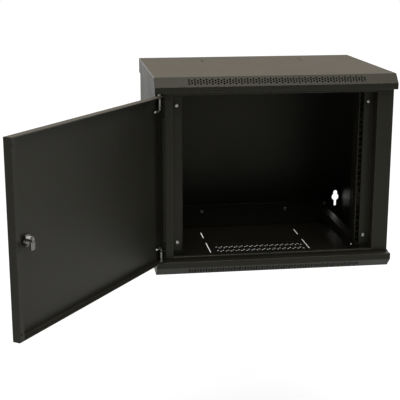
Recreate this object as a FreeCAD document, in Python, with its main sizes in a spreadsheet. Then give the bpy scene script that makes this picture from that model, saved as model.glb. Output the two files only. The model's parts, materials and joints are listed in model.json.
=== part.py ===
import FreeCAD, Part
import math
import os

import Sketcher

# Wall-mounted network cabinet, 9 rack units high, 600 wide and 450 deep.
# Frame: X to the right seen from the front, Y from the front to the wall, Z up.
# Origin: centre of the footprint, on the underside of the bottom cover. Millimetres.
# The door stands open. Its pieces are drawn in a frame of their own, whose origin lies on
# the hinge axis: X runs along the door, Y towards its inner side. They are then turned
# about that axis by the opening angle.

V = FreeCAD.Vector

SIZES = [
    # whole cabinet
    ("cabinet_width", 600.0),
    ("cabinet_depth", 450.0),
    ("cabinet_height", 495.0),
    ("body_inset", 3.0),
    # top and bottom covers
    ("cover_sheet", 1.2),
    ("skirt_height", 39.0),
    ("slope_run", 21.4),
    ("slope_drop", 22.0),
    ("fascia_height", 15.5),
    ("cover_bend", 1.6),
    ("vent_size", 3.6),
    ("vent_pitch", 7.1),
    ("vent_row_pitch", 6.3),
    ("vent_margin", 79.5),
    ("knockout_x", 136.0),
    ("knockout_slit", 2.4),
    ("rear_slit_start", 70.0),
    ("rear_slit_length", 60.0),
    ("floor_slit_start", 171.0),
    ("floor_slit_length", 98.0),
    # frame: posts and cross rails
    ("frame_sheet", 1.5),
    ("frame_clearance", 0.1),
    ("opening_margin", 30.0),
    ("post_leg_depth", 30.0),
    ("post_return_depth", 32.0),
    ("post_flange_margin", 6.0),
    ("frame_rail_rise", 8.0),
    ("frame_rail_lip", 10.0),
    # shell panels
    ("panel_sheet", 1.2),
    ("side_flange", 7.0),
    # keyholes in the rear panel
    ("keyhole_inset", 19.0),
    ("keyhole_height", 75.0),
    ("keyhole_radius", 11.0),
    ("keyhole_stem_up", 6.5),
    ("keyhole_stem_down", 4.25),
    ("keyhole_rise", 20.0),
    ("keyhole_fall", 27.0),
    # rear cross rails
    ("rear_rail_reach", 0.25),
    ("rear_rail_face", 68.0),
    ("rear_rail_flange", 16.0),
    ("rear_rail_standoff", 10.0),
    ("rear_screw_x", 124.0),
    ("rear_screw_height", 47.0),
    # nineteen-inch uprights
    ("rack_opening", 450.0),
    ("rack_unit", 44.45),
    ("rack_base", 47.475),
    ("rack_hole_inset", 7.56),
    ("rack_hole_offset", 6.35),
    ("rack_hole_size", 9.5),
    ("rack_setback", 76.0),
    ("rack_web_depth", 46.0),
    ("rack_flange_width", 23.0),
    ("rack_leg_depth", 30.0),
    ("rack_foot_drop", 22.5),
    # depth rails
    ("depth_rail_web", 27.5),
    ("depth_rail_flange", 24.0),
    ("front_tab_rise", 38.0),
    ("rear_tab_rise", 24.0),
    ("tab_width", 16.2),
    # screws
    ("screw_head", 5.0),
    ("screw_head_height", 2.8),
    ("post_screw_rise", 25.5),
    ("tab_screw_rise", 12.5),
    ("upright_screw_drop", 13.5),
    ("upright_screw_setback", 24.0),
    # door
    ("open_angle", 125.24),
    ("hinge_inset", 11.4),
    ("hinge_setback", 8.0),
    ("door_thickness", 19.4),
    ("door_sheet", 1.2),
    ("door_bend", 1.6),
    ("door_lip", 14.0),
    ("door_edge_gap", 3.4),
    ("door_gap_bottom", 2.3),
    ("door_gap_top", 5.1),
    ("notch_width", 15.0),
    ("notch_height", 22.0),
    # lock
    ("lock_inset", 13.6),
    ("lock_height", 236.0),
    ("lock_head_radius", 12.0),
    ("lock_head_height", 2.0),
    ("lock_barrel_radius", 9.4),
    ("lock_nut_flats", 24.0),
    ("lock_nut_height", 6.0),
    ("lock_plug_radius", 6.0),
    ("lock_clearance", 0.05),
    ("lock_drive", 7.0),
    ("keyway_width", 1.2),
    ("keyway_length", 6.5),
    ("keyway_depth", 4.0),
    ("cam_length", 32.0),
    ("cam_width", 14.0),
    ("cam_sheet", 2.5),
    ("cam_screw_radius", 4.5),
    ("cam_screw_height", 3.0),
    ("cam_gap", 0.5),
    ("cam_room", 3.0),
    # hinge pins
    ("pin_radius", 3.0),
    ("pin_clearance", 0.05),
    ("pin_drop", 36.0),
    ("pin_bend", 6.0),
    ("pin_tail", 25.0),
    ("pin_engagement", 9.0),
    ("guide_drop", 26.5),
    ("guide_sheet", 1.5),
    ("guide_depth", 16.0),
    ("guide_leg", 12.0),
    ("clip_radius", 5.0),
    ("clip_height", 1.2),
    ("spring_radius", 4.2),
    ("spring_wire", 0.45),
    ("spring_turns", 4.0),
]


class Length:
    """A length known both as a number and as the sheet expression that gives it."""

    def __init__(self, number, text):
        self.number = number
        self.text = text

    def combine(self, other, sign, result):
        """Return the length that joins this one to another with an arithmetic sign."""
        other_text = other.text if isinstance(other, Length) else repr(float(other))
        return Length(result, f"({self.text} {sign} {other_text})")

    def __add__(self, other):
        return self.combine(other, "+", self.number + number_of(other))

    def __sub__(self, other):
        return self.combine(other, "-", self.number - number_of(other))

    def __mul__(self, other):
        return self.combine(other, "*", self.number * number_of(other))

    def __truediv__(self, other):
        return self.combine(other, "/", self.number / number_of(other))

    def __neg__(self):
        return Length(-self.number, f"(0 - {self.text})")


def number_of(value):
    """Return the plain number of a length or of a number."""
    return value.number if isinstance(value, Length) else float(value)


def hypotenuse(first, second):
    """Return the long side of the right triangle with these two legs."""
    number = math.hypot(first.number, second.number)
    return Length(number, f"sqrt({first.text} ^ 2 + {second.text} ^ 2)")


def whole(count):
    """Return how many whole steps fit, forgiving a hundredth of a step."""
    return Length(math.floor(count.number + 0.01), f"floor({count.text} + 0.01)")


def make_sheet(doc):
    """Write the driving sizes to the sheet and return them as lengths by name."""
    sheet = doc.addObject("Spreadsheet::Sheet", "Sizes")
    lengths = {}
    for row, (name, number) in enumerate(SIZES, start=1):
        sheet.set(f"A{row}", name)
        sheet.set(f"B{row}", str(number))
        sheet.setAlias(f"B{row}", name)
        lengths[name] = Length(number, f"Sizes.{name}")
    doc.recompute()
    return lengths


DOC = FreeCAD.newDocument("network_cabinet")
S = make_sheet(DOC)

# Planes that several pieces share
FRONT = -S["cabinet_depth"] / 2
BACK = S["cabinet_depth"] / 2
HALF_WIDTH = S["cabinet_width"] / 2
BODY_HALF = HALF_WIDTH - S["body_inset"]
SLANT = hypotenuse(S["slope_run"], S["slope_drop"])
CREASE_INSIDE = FRONT + S["slope_run"] + S["cover_sheet"] * (SLANT - S["slope_run"]) / S["slope_drop"]
FRAME_FRONT = CREASE_INSIDE + S["frame_clearance"]
LEDGE = S["slope_drop"] + S["fascia_height"]
RACK_INNER = S["rack_opening"] / 2
POST_INNER = RACK_INNER + S["opening_margin"]
POST_FLANGE_FACE = FRAME_FRONT + S["post_return_depth"]
REAR_SKIN = BACK - S["cover_sheet"] - S["panel_sheet"]
REAR_RAIL_FACE = REAR_SKIN - S["rear_rail_standoff"] - S["frame_sheet"]
RACK_FRONT = FRONT + S["rack_setback"]
RACK_LOW = S["rack_base"]
DEPTH_WEB = RACK_INNER + S["frame_sheet"]
DEPTH_EDGE = DEPTH_WEB + S["depth_rail_flange"]
TAB_SCREW_X = DEPTH_EDGE - S["tab_width"] / 2
REAR_RAIL_HALF = DEPTH_EDGE + (BODY_HALF - DEPTH_EDGE) * S["rear_rail_reach"]
TAB_FACE = POST_FLANGE_FACE + S["frame_sheet"]
HINGE_X = -HALF_WIDTH + S["hinge_inset"]
HINGE_Y = FRONT + S["hinge_setback"]
LOCK_REACH = POST_INNER - S["lock_inset"] - HINGE_X
DOOR_BOTTOM = LEDGE + S["door_gap_bottom"]
DOOR_TOP = S["cabinet_height"] - LEDGE - S["door_gap_top"]
DOOR_HEEL = -(S["hinge_inset"] - S["door_edge_gap"])
DOOR_REACH = S["cabinet_width"] - S["hinge_inset"] - S["door_edge_gap"]
DOOR_OUTER = -S["hinge_setback"]
DOOR_INNER = S["door_thickness"] - S["hinge_setback"]
PANEL_INNER = DOOR_OUTER + S["door_sheet"]
CAM_PLANE = FRAME_FRONT + S["frame_sheet"] + S["cam_gap"]
CAM_FACE = CAM_PLANE - HINGE_Y
BARREL_LENGTH = CAM_FACE - DOOR_OUTER

RACK_UNITS = whole((S["cabinet_height"] - RACK_LOW * 2) / S["rack_unit"])
VENT_PAIRS = whole((S["cabinet_width"] - S["vent_margin"] * 2) / (S["vent_pitch"] * 2))
SCREW_SIDES = 8
NEAR = 0.001

UP = 1
DOWN = -1


def mirrored_height(height, side):
    """Return the height above the floor, or the same distance below the cabinet's top."""
    return height if side == DOWN else S["cabinet_height"] - height


def make_body(name):
    """Add an empty body whose label names the sub-part's file."""
    body = DOC.addObject("PartDesign::Body", name)
    body.Label = name
    return body


def add_sketch(body, name, role, offset=None):
    """Attach a sketch to one of the body's own origin planes, moved along its normal."""
    sketch = body.newObject("Sketcher::SketchObject", f"{body.Name}_{name}")
    plane = [feature for feature in body.Origin.OriginFeatures if feature.Role == role][0]
    sketch.AttachmentSupport = [(plane, "")]
    sketch.MapMode = "FlatFace"
    if offset is not None:
        sketch.setExpression("AttachmentOffset.Base.z", offset.text)
    return sketch


def fix_coordinate(sketch, kind, edge, point, value):
    """Hold one coordinate of a sketch point at a length measured from the sketch's origin."""
    index = sketch.addConstraint(Sketcher.Constraint(kind, edge, point, number_of(value)))
    if isinstance(value, Length):
        sketch.setExpression(f"Constraints[{index}]", value.text)


def add_outline(sketch, corners):
    """Draw a closed outline of straight edges through the given corners."""
    first = sketch.GeometryCount
    points = [V(number_of(x), number_of(y), 0) for x, y in corners]
    count = len(points)
    for index, point in enumerate(points):
        sketch.addGeometry(Part.LineSegment(point, points[(index + 1) % count]), False)
    for index in range(count):
        follower = first + (index + 1) % count
        sketch.addConstraint(Sketcher.Constraint("Coincident", first + index, 2, follower, 1))
    for index, (x, y) in enumerate(corners):
        fix_coordinate(sketch, "DistanceX", first + index, 1, x)
        fix_coordinate(sketch, "DistanceY", first + index, 1, y)


def add_rectangle(sketch, left, bottom, right, top):
    """Draw an upright rectangle between two opposite corners."""
    add_outline(sketch, [(left, bottom), (right, bottom), (right, top), (left, top)])


def add_circle(sketch, x, y, radius):
    """Draw a circle of the given centre and radius."""
    centre = V(number_of(x), number_of(y), 0)
    index = sketch.addGeometry(Part.Circle(centre, V(0, 0, 1), number_of(radius)), False)
    fix_coordinate(sketch, "DistanceX", index, 3, x)
    fix_coordinate(sketch, "DistanceY", index, 3, y)
    constraint = sketch.addConstraint(Sketcher.Constraint("Radius", index, number_of(radius)))
    if isinstance(radius, Length):
        sketch.setExpression(f"Constraints[{constraint}]", radius.text)


def pad(body, sketch, length, symmetric=False, reverse=False):
    """Raise a sketch by a length along its normal, or half of it to each side."""
    feature = body.newObject("PartDesign::Pad", f"{sketch.Name}_pad")
    feature.Profile = sketch
    feature.SideType = "Symmetric" if symmetric else "One side"
    feature.Reversed = reverse
    feature.setExpression("Length", length.text)
    DOC.recompute()
    return feature


def pocket(body, sketch, length, symmetric=False, reverse=False):
    """Cut a sketch into the body against its normal and make sure that it removes metal."""
    before = body.Shape.Volume
    feature = body.newObject("PartDesign::Pocket", f"{sketch.Name}_cut")
    feature.Profile = sketch
    feature.SideType = "Symmetric" if symmetric else "One side"
    feature.Reversed = reverse
    feature.setExpression("Length", length.text)
    DOC.recompute()
    if not body.Shape.Volume < before:
        raise RuntimeError(f"{sketch.Name} cuts nothing from {body.Name}")
    return feature


def repeat(body, feature, sketch, axis, spacing, count):
    """Repeat a cut along an axis of its sketch and make the pattern the body's tip."""
    pattern = body.newObject("PartDesign::LinearPattern", f"{feature.Name}_pattern")
    pattern.Originals = [feature]
    pattern.Direction = (sketch, [axis])
    pattern.Mode = "Spacing"
    pattern.setExpression("Offset", spacing.text)
    pattern.setExpression("Occurrences", count.text)
    body.Tip = pattern
    DOC.recompute()
    return pattern


def round_edges(body, feature, radius, wanted):
    """Round the edges of a feature that the test picks, as a press brake's bends."""
    names = []
    for index, edge in enumerate(feature.Shape.Edges, start=1):
        first, last = edge.Vertexes[0].Point, edge.Vertexes[-1].Point
        if wanted(first, last):
            names.append(f"Edge{index}")
    fillet = body.newObject("PartDesign::Fillet", f"{feature.Name}_bends")
    fillet.Base = (feature, names)
    fillet.setExpression("Radius", radius.text)
    DOC.recompute()
    return fillet


def turn_with_door(item):
    """Place a piece drawn in the door's frame on the hinge axis, at the opening angle."""
    item.Placement = FreeCAD.Placement(V(0, 0, 0), FreeCAD.Rotation(V(0, 0, 1), 0))
    item.setExpression("Placement.Base.x", HINGE_X.text)
    item.setExpression("Placement.Base.y", HINGE_Y.text)
    item.setExpression("Placement.Rotation.Angle", f"(0 - {S['open_angle'].text}) * 1 deg")


def make_cover(name, side):
    """Fold one cover: sheet, sloped front edge, fascia, ledge and skirts, as one open pan."""
    body = make_body(name)
    sheet = S["cover_sheet"]
    run = S["slope_run"]
    drop = S["slope_drop"]

    def at(y, depth):
        return y, mirrored_height(depth, side)

    outer = add_sketch(body, "outer", "YZ_Plane")
    add_outline(outer, [
        at(BACK, S["skirt_height"]),
        at(BACK, S["skirt_height"] * 0),
        at(FRONT + run, S["skirt_height"] * 0),
        at(FRONT, drop),
        at(FRONT, LEDGE),
        at(FRAME_FRONT, LEDGE),
        at(FRAME_FRONT, S["skirt_height"]),
    ])
    solid = pad(body, outer, S["cabinet_width"], symmetric=True)
    face = number_of(mirrored_height(S["skirt_height"] * 0, side))
    front = number_of(FRONT)

    def is_bend(first, last):
        """Tell whether an edge is folded: the rim of the wide face, or an edge of the fascia."""
        rim = abs(first.z - face) < NEAR and abs(last.z - face) < NEAR
        fascia = abs(first.y - front) < NEAR and abs(last.y - front) < NEAR
        return rim or (fascia and abs(first.x - last.x) > NEAR)

    round_edges(body, solid, S["cover_bend"], is_bend)

    inner = add_sketch(body, "inner", "YZ_Plane")
    past_rim = S["skirt_height"] + sheet
    add_outline(inner, [
        at(BACK - sheet, past_rim),
        at(BACK - sheet, sheet),
        at(CREASE_INSIDE, sheet),
        at(FRONT + sheet, drop + sheet * (SLANT - drop) / run),
        at(FRONT + sheet, LEDGE - sheet),
        at(FRAME_FRONT, LEDGE - sheet),
        at(FRAME_FRONT, past_rim),
    ])
    pocket(body, inner, S["cabinet_width"] - sheet * 2, symmetric=True)

    pin_hole = add_sketch(body, "pin_hole", "XY_Plane", mirrored_height(LEDGE - sheet / 2, side))
    add_circle(pin_hole, HINGE_X, HINGE_Y, S["pin_radius"] + S["pin_clearance"])
    pocket(body, pin_hole, sheet * 3, symmetric=True)

    slits = add_sketch(body, "slits", "XY_Plane", mirrored_height(sheet / 2, side))
    half_slit = S["knockout_slit"] / 2
    rows = [(BACK - S["rear_slit_start"] - S["rear_slit_length"], S["rear_slit_length"])]
    if side == DOWN:
        rows.append((BACK - S["floor_slit_start"] - S["floor_slit_length"], S["floor_slit_length"]))
    for start, length in rows:
        for hand in (-1, 1):
            centre = S["knockout_x"] * hand
            add_rectangle(slits, centre - half_slit, start, centre + half_slit, start + length)
    pocket(body, slits, sheet * 3, symmetric=True)
    add_vents(body, side)
    return body


def add_vents(body, side):
    """Cut the staggered vents through a cover's slope: columns of three and of two by turns."""
    vents = add_sketch(body, "vents", "XY_Plane")
    # the sketch lies on the slope, with its origin at the slope's middle
    vents.AttachmentOffset = FreeCAD.Placement(V(0, 0, 0), FreeCAD.Rotation(V(1, 0, 0), 45))
    vents.setExpression("AttachmentOffset.Base.y", (FRONT + S["slope_run"] / 2).text)
    middle = mirrored_height(S["slope_drop"] / 2, side)
    vents.setExpression("AttachmentOffset.Base.z", middle.text)
    tilt = f"atan({S['slope_drop'].text} / {S['slope_run'].text})"
    vents.setExpression("AttachmentOffset.Rotation.Angle", tilt if side == UP else f"-1 * {tilt}")
    pitch = S["vent_pitch"]
    row = S["vent_row_pitch"]
    half = S["vent_size"] / 2
    first = pitch / 2 - pitch * VENT_PAIRS
    for across, along in (
        (first, -row), (first, row * 0), (first, row),
        (first + pitch, -row / 2), (first + pitch, row / 2),
    ):
        add_rectangle(vents, across - half, along - half, across + half, along + half)
    first_pair = pocket(body, vents, S["cover_sheet"] * 3, symmetric=True)
    repeat(body, first_pair, vents, "H_Axis", pitch * 2, VENT_PAIRS)


def make_post(name, hand):
    """Fold one front post: outer leg, face, return wall and inward flange."""
    body = make_body(name)
    sheet = S["frame_sheet"]
    inner_flange = RACK_INNER + S["post_flange_margin"]

    def at(x, y):
        return x * hand, y

    profile = add_sketch(body, "profile", "XY_Plane", S["cover_sheet"])
    add_outline(profile, [
        at(BODY_HALF, FRAME_FRONT + S["post_leg_depth"]),
        at(BODY_HALF, FRAME_FRONT),
        at(POST_INNER, FRAME_FRONT),
        at(POST_INNER, POST_FLANGE_FACE),
        at(inner_flange, POST_FLANGE_FACE),
        at(inner_flange, TAB_FACE),
        at(POST_INNER + sheet, TAB_FACE),
        at(POST_INNER + sheet, FRAME_FRONT + sheet),
        at(BODY_HALF - sheet, FRAME_FRONT + sheet),
        at(BODY_HALF - sheet, FRAME_FRONT + S["post_leg_depth"]),
    ])
    pad(body, profile, S["cabinet_height"] - S["cover_sheet"] * 2)

    if hand == 1:
        slot = add_sketch(body, "cam_slot", "YZ_Plane", POST_INNER + sheet / 2)
        room = S["cam_room"]
        add_rectangle(
            slot,
            CAM_PLANE - S["cam_gap"], S["lock_height"] - S["cam_length"] - room,
            CAM_PLANE + S["cam_sheet"] + room, S["lock_height"] + S["cam_width"] / 2 + room,
        )
        pocket(body, slot, sheet * 3, symmetric=True)
    return body


def make_frame_rail(name, side):
    """Fold one front cross rail between the posts: upright web and a lip at its free edge."""
    body = make_body(name)
    sheet = S["frame_sheet"]
    rim = LEDGE + S["frame_rail_rise"]

    def at(y, depth):
        return y, mirrored_height(depth, side)

    profile = add_sketch(body, "profile", "YZ_Plane")
    add_outline(profile, [
        at(FRAME_FRONT, S["cover_sheet"]),
        at(FRAME_FRONT, rim),
        at(FRAME_FRONT + S["frame_rail_lip"], rim),
        at(FRAME_FRONT + S["frame_rail_lip"], rim - sheet),
        at(FRAME_FRONT + sheet, rim - sheet),
        at(FRAME_FRONT + sheet, S["cover_sheet"] + sheet),
        at(FRAME_FRONT + S["frame_rail_lip"], S["cover_sheet"] + sheet),
        at(FRAME_FRONT + S["frame_rail_lip"], S["cover_sheet"]),
    ])
    pad(body, profile, POST_INNER * 2, symmetric=True)
    return body


def make_side_panel(name, hand):
    """Fold one side panel with flanges along its front and rear edges."""
    body = make_body(name)
    sheet = S["panel_sheet"]
    front_edge = FRAME_FRONT + S["post_leg_depth"]
    flange_edge = BODY_HALF - S["side_flange"]

    def at(x, y):
        return x * hand, y

    profile = add_sketch(body, "profile", "XY_Plane", S["cover_sheet"])
    add_outline(profile, [
        at(flange_edge, front_edge),
        at(BODY_HALF, front_edge),
        at(BODY_HALF, REAR_SKIN),
        at(flange_edge, REAR_SKIN),
        at(flange_edge, REAR_SKIN - sheet),
        at(BODY_HALF - sheet, REAR_SKIN - sheet),
        at(BODY_HALF - sheet, front_edge + sheet),
        at(flange_edge, front_edge + sheet),
    ])
    pad(body, profile, S["cabinet_height"] - S["cover_sheet"] * 2)
    return body


def add_stem(sketch, x, height, radius, length, way):
    """Draw a slot with one round end, from a keyhole's centre up or down."""
    straight = length - radius
    end = height + straight * way
    left = x - radius
    right = x + radius
    start = V(number_of(left), number_of(height), 0)
    turn = V(number_of(left), number_of(end), 0)
    crown = V(number_of(x), number_of(end) + way * number_of(radius), 0)
    back = V(number_of(right), number_of(end), 0)
    finish = V(number_of(right), number_of(height), 0)
    first = sketch.GeometryCount
    sketch.addGeometry(Part.LineSegment(start, turn), False)
    sketch.addGeometry(Part.Arc(turn, crown, back), False)
    sketch.addGeometry(Part.LineSegment(back, finish), False)
    sketch.addGeometry(Part.LineSegment(finish, start), False)
    # an arc always runs anticlockwise, so its ends swap with the way it bulges
    arc_start = 2 if way == UP else 1
    arc_end = 1 if way == UP else 2
    sketch.addConstraint(Sketcher.Constraint("Coincident", first, 2, first + 1, arc_start))
    sketch.addConstraint(Sketcher.Constraint("Coincident", first + 1, arc_end, first + 2, 1))
    sketch.addConstraint(Sketcher.Constraint("Coincident", first + 2, 2, first + 3, 1))
    sketch.addConstraint(Sketcher.Constraint("Coincident", first + 3, 2, first, 1))
    fix_coordinate(sketch, "DistanceX", first, 1, left)
    fix_coordinate(sketch, "DistanceY", first, 1, height)
    fix_coordinate(sketch, "DistanceX", first, 2, left)
    fix_coordinate(sketch, "DistanceY", first, 2, end)
    fix_coordinate(sketch, "DistanceX", first + 2, 1, right)
    fix_coordinate(sketch, "DistanceY", first + 2, 1, end)
    fix_coordinate(sketch, "DistanceX", first + 3, 1, right)
    fix_coordinate(sketch, "DistanceY", first + 3, 1, height)
    fix_coordinate(sketch, "DistanceY", first + 1, 3, end)


def make_rear_panel(name):
    """Cut the rear panel with its four keyholes, each a round hole with two stems."""
    body = make_body(name)
    sheet = S["panel_sheet"]
    outline = add_sketch(body, "outline", "XZ_Plane", -REAR_SKIN)
    add_rectangle(
        outline, -BODY_HALF, S["cover_sheet"],
        BODY_HALF, S["cabinet_height"] - S["cover_sheet"],
    )
    pad(body, outline, sheet, reverse=True)
    rounds = add_sketch(body, "rounds", "XZ_Plane", -REAR_SKIN - sheet / 2)
    upper_stems = add_sketch(body, "upper_stems", "XZ_Plane", -REAR_SKIN - sheet / 2)
    lower_stems = add_sketch(body, "lower_stems", "XZ_Plane", -REAR_SKIN - sheet / 2)
    for hand in (-1, 1):
        for side in (DOWN, UP):
            x = (BODY_HALF - S["keyhole_inset"]) * hand
            height = mirrored_height(S["keyhole_height"], side)
            add_circle(rounds, x, height, S["keyhole_radius"])
            add_stem(upper_stems, x, height, S["keyhole_stem_up"], S["keyhole_rise"], UP)
            add_stem(lower_stems, x, height, S["keyhole_stem_down"], S["keyhole_fall"], DOWN)
    for sketch in (rounds, upper_stems, lower_stems):
        pocket(body, sketch, sheet * 3, symmetric=True)
    return body


def make_rear_rail(name, side):
    """Fold one rear cross rail: stand-off face, step to the rear panel, flange and foot."""
    body = make_body(name)
    sheet = S["frame_sheet"]
    face = REAR_RAIL_FACE
    step = S["rear_rail_face"]
    rim = step + S["rear_rail_flange"]

    def at(y, depth):
        return y, mirrored_height(depth, side)

    profile = add_sketch(body, "profile", "YZ_Plane")
    add_outline(profile, [
        at(REAR_SKIN, S["cover_sheet"]),
        at(face, S["cover_sheet"]),
        at(face, step),
        at(REAR_SKIN - sheet, step),
        at(REAR_SKIN - sheet, rim),
        at(REAR_SKIN, rim),
        at(REAR_SKIN, step - sheet),
        at(face + sheet, step - sheet),
        at(face + sheet, S["cover_sheet"] + sheet),
        at(REAR_SKIN, S["cover_sheet"] + sheet),
    ])
    pad(body, profile, REAR_RAIL_HALF * 2, symmetric=True)
    return body


def make_rack_rail(name, hand):
    """Fold one nineteen-inch upright: inner web, outer leg, and a flange of square holes."""
    body = make_body(name)
    sheet = S["frame_sheet"]
    outer = RACK_INNER + S["rack_flange_width"]

    def at(x, y):
        return x * hand, y

    foot = RACK_LOW - S["rack_foot_drop"]
    web = add_sketch(body, "web", "XY_Plane", foot)
    web_back = RACK_FRONT + S["rack_web_depth"]
    add_outline(web, [
        at(RACK_INNER, RACK_FRONT), at(DEPTH_WEB, RACK_FRONT),
        at(DEPTH_WEB, web_back), at(RACK_INNER, web_back),
    ])
    pad(body, web, S["cabinet_height"] - foot * 2)

    flange = add_sketch(body, "flange", "XY_Plane", RACK_LOW)
    add_outline(flange, [
        at(RACK_INNER, RACK_FRONT),
        at(outer, RACK_FRONT),
        at(outer, RACK_FRONT + S["rack_leg_depth"]),
        at(outer - sheet, RACK_FRONT + S["rack_leg_depth"]),
        at(outer - sheet, RACK_FRONT + sheet),
        at(RACK_INNER, RACK_FRONT + sheet),
    ])
    pad(body, flange, S["cabinet_height"] - RACK_LOW * 2)

    holes = add_sketch(body, "rack_holes", "XZ_Plane", -RACK_FRONT - sheet / 2)
    across = (RACK_INNER + S["rack_hole_inset"]) * hand
    half = S["rack_hole_size"] / 2
    unit = S["rack_unit"]
    for rise in (S["rack_hole_offset"], unit / 2, unit - S["rack_hole_offset"]):
        height = RACK_LOW + rise
        add_rectangle(holes, across - half, height - half, across + half, height + half)
    first_unit = pocket(body, holes, sheet * 3, symmetric=True)
    repeat(body, first_unit, holes, "V_Axis", unit, RACK_UNITS)
    return body


def make_depth_rail(name, hand, side):
    """Fold one depth rail: web beside the upright, flange beside the opening, end tabs."""
    body = make_body(name)
    sheet = S["frame_sheet"]
    length = REAR_RAIL_FACE - TAB_FACE
    foot = RACK_LOW - S["depth_rail_web"]

    def at(x, depth):
        return x * hand, mirrored_height(depth, side)

    profile = add_sketch(body, "profile", "XZ_Plane", -REAR_RAIL_FACE)
    add_outline(profile, [
        at(DEPTH_WEB, foot),
        at(DEPTH_WEB, RACK_LOW),
        at(DEPTH_EDGE, RACK_LOW),
        at(DEPTH_EDGE, RACK_LOW - sheet),
        at(DEPTH_WEB + sheet, RACK_LOW - sheet),
        at(DEPTH_WEB + sheet, foot),
    ])
    pad(body, profile, length)

    for label, plane, rise, reverse in (
        ("front_tab", TAB_FACE, S["front_tab_rise"], True),
        ("rear_tab", REAR_RAIL_FACE, S["rear_tab_rise"], False),
    ):
        tab = add_sketch(body, label, "XZ_Plane", -plane)
        tab_inner = DEPTH_EDGE - S["tab_width"]
        add_outline(tab, [
            at(tab_inner, RACK_LOW - sheet), at(DEPTH_EDGE, RACK_LOW - sheet),
            at(DEPTH_EDGE, RACK_LOW + rise), at(tab_inner, RACK_LOW + rise),
        ])
        pad(body, tab, sheet, reverse=reverse)
    return body


def make_screw(name, x, y, height, axis):
    """Make one screw head, eight-sided to stay light, standing on its seat along the axis."""
    head = DOC.addObject("Part::Prism", name)
    head.Polygon = SCREW_SIDES
    head.setExpression("Circumradius", S["screw_head"].text)
    head.setExpression("Height", S["screw_head_height"].text)
    head.Placement = FreeCAD.Placement(V(0, 0, 0), FreeCAD.Rotation(V(0, 0, 1), axis))
    head.setExpression("Placement.Base.x", x.text)
    head.setExpression("Placement.Base.y", y.text)
    head.setExpression("Placement.Base.z", height.text)
    return head


def make_screw_group(name, seats):
    """Gather equal screws, each a solid of its own, in one sub-part."""
    screws = []
    for index, (x, y, height, axis) in enumerate(seats, start=1):
        screws.append(make_screw(f"{name}_{index}", x, y, height, axis))
    group = DOC.addObject("Part::Compound", name)
    group.Label = name
    group.Links = screws
    return group


def make_screws():
    """Place the screws of the frame, the uprights and the rear rails."""
    post_seats = []
    upright_seats = []
    tab_seats = []
    rail_seats = []
    to_front = V(0, -1, 0)
    for hand in (-1, 1):
        for side in (DOWN, UP):
            tab_x = TAB_SCREW_X * hand
            post_height = mirrored_height(RACK_LOW + S["post_screw_rise"], side)
            post_seats.append((tab_x, POST_FLANGE_FACE, post_height, to_front))
            upright_seats.append((
                RACK_INNER * hand, RACK_FRONT + S["upright_screw_setback"],
                mirrored_height(RACK_LOW - S["upright_screw_drop"], side), V(-hand, 0, 0),
            ))
            tab_height = mirrored_height(RACK_LOW + S["tab_screw_rise"], side)
            tab_seats.append((tab_x, REAR_RAIL_FACE - S["frame_sheet"], tab_height, to_front))
            rail_height = mirrored_height(S["rear_screw_height"], side)
            rail_seats.append((S["rear_screw_x"] * hand, REAR_RAIL_FACE, rail_height, to_front))
    make_screw_group("frame_screws", post_seats)
    make_screw_group("upright_screws", upright_seats)
    make_screw_group("depth_rail_screws", tab_seats)
    make_screw_group("rear_rail_screws", rail_seats)


def make_door_panel(name):
    """Fold the door: a pan with flanges all round and a lip turned in from each flange."""
    body = make_body(name)
    sheet = S["door_sheet"]
    height = DOOR_TOP - DOOR_BOTTOM

    outer = add_sketch(body, "outer", "XY_Plane", DOOR_BOTTOM)
    add_rectangle(outer, DOOR_HEEL, DOOR_OUTER, DOOR_REACH, DOOR_INNER)
    solid = pad(body, outer, height)
    face = number_of(DOOR_OUTER)

    def is_bend(first, last):
        """Tell whether an edge is folded: the rim of the door's outer face."""
        return abs(first.y - face) < NEAR and abs(last.y - face) < NEAR

    round_edges(body, solid, S["door_bend"], is_bend)

    window = add_sketch(body, "window", "XZ_Plane", -DOOR_INNER)
    lip = S["door_lip"]
    add_rectangle(window, DOOR_HEEL + lip, DOOR_BOTTOM + lip, DOOR_REACH - lip, DOOR_TOP - lip)
    pocket(body, window, sheet * 3, symmetric=True)

    hollow = add_sketch(body, "hollow", "XZ_Plane", -(DOOR_OUTER + DOOR_INNER) / 2)
    add_rectangle(
        hollow, DOOR_HEEL + sheet, DOOR_BOTTOM + sheet, DOOR_REACH - sheet, DOOR_TOP - sheet,
    )
    pocket(body, hollow, S["door_thickness"] - sheet * 2, symmetric=True)

    pin_holes = add_sketch(body, "pin_holes", "XY_Plane", (DOOR_TOP + DOOR_BOTTOM) / 2)
    add_circle(pin_holes, S["pin_radius"] * 0, S["pin_radius"] * 0,
               S["pin_radius"] + S["pin_clearance"])
    pocket(body, pin_holes, height * 2, symmetric=True)

    lock_hole = add_sketch(body, "lock_hole", "XZ_Plane", -DOOR_OUTER - sheet / 2)
    radius = S["lock_barrel_radius"] + S["lock_clearance"]
    add_circle(lock_hole, LOCK_REACH, S["lock_height"], radius)
    pocket(body, lock_hole, sheet * 3, symmetric=True)

    notch = add_sketch(body, "notch", "XZ_Plane", -DOOR_INNER + sheet / 2)
    half = S["notch_height"] / 2
    middle = S["lock_height"]
    right = DOOR_REACH - sheet
    add_rectangle(notch, right - S["notch_width"], middle - half, right, middle + half)
    pocket(body, notch, sheet * 3, symmetric=True)
    turn_with_door(body)
    return body


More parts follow.
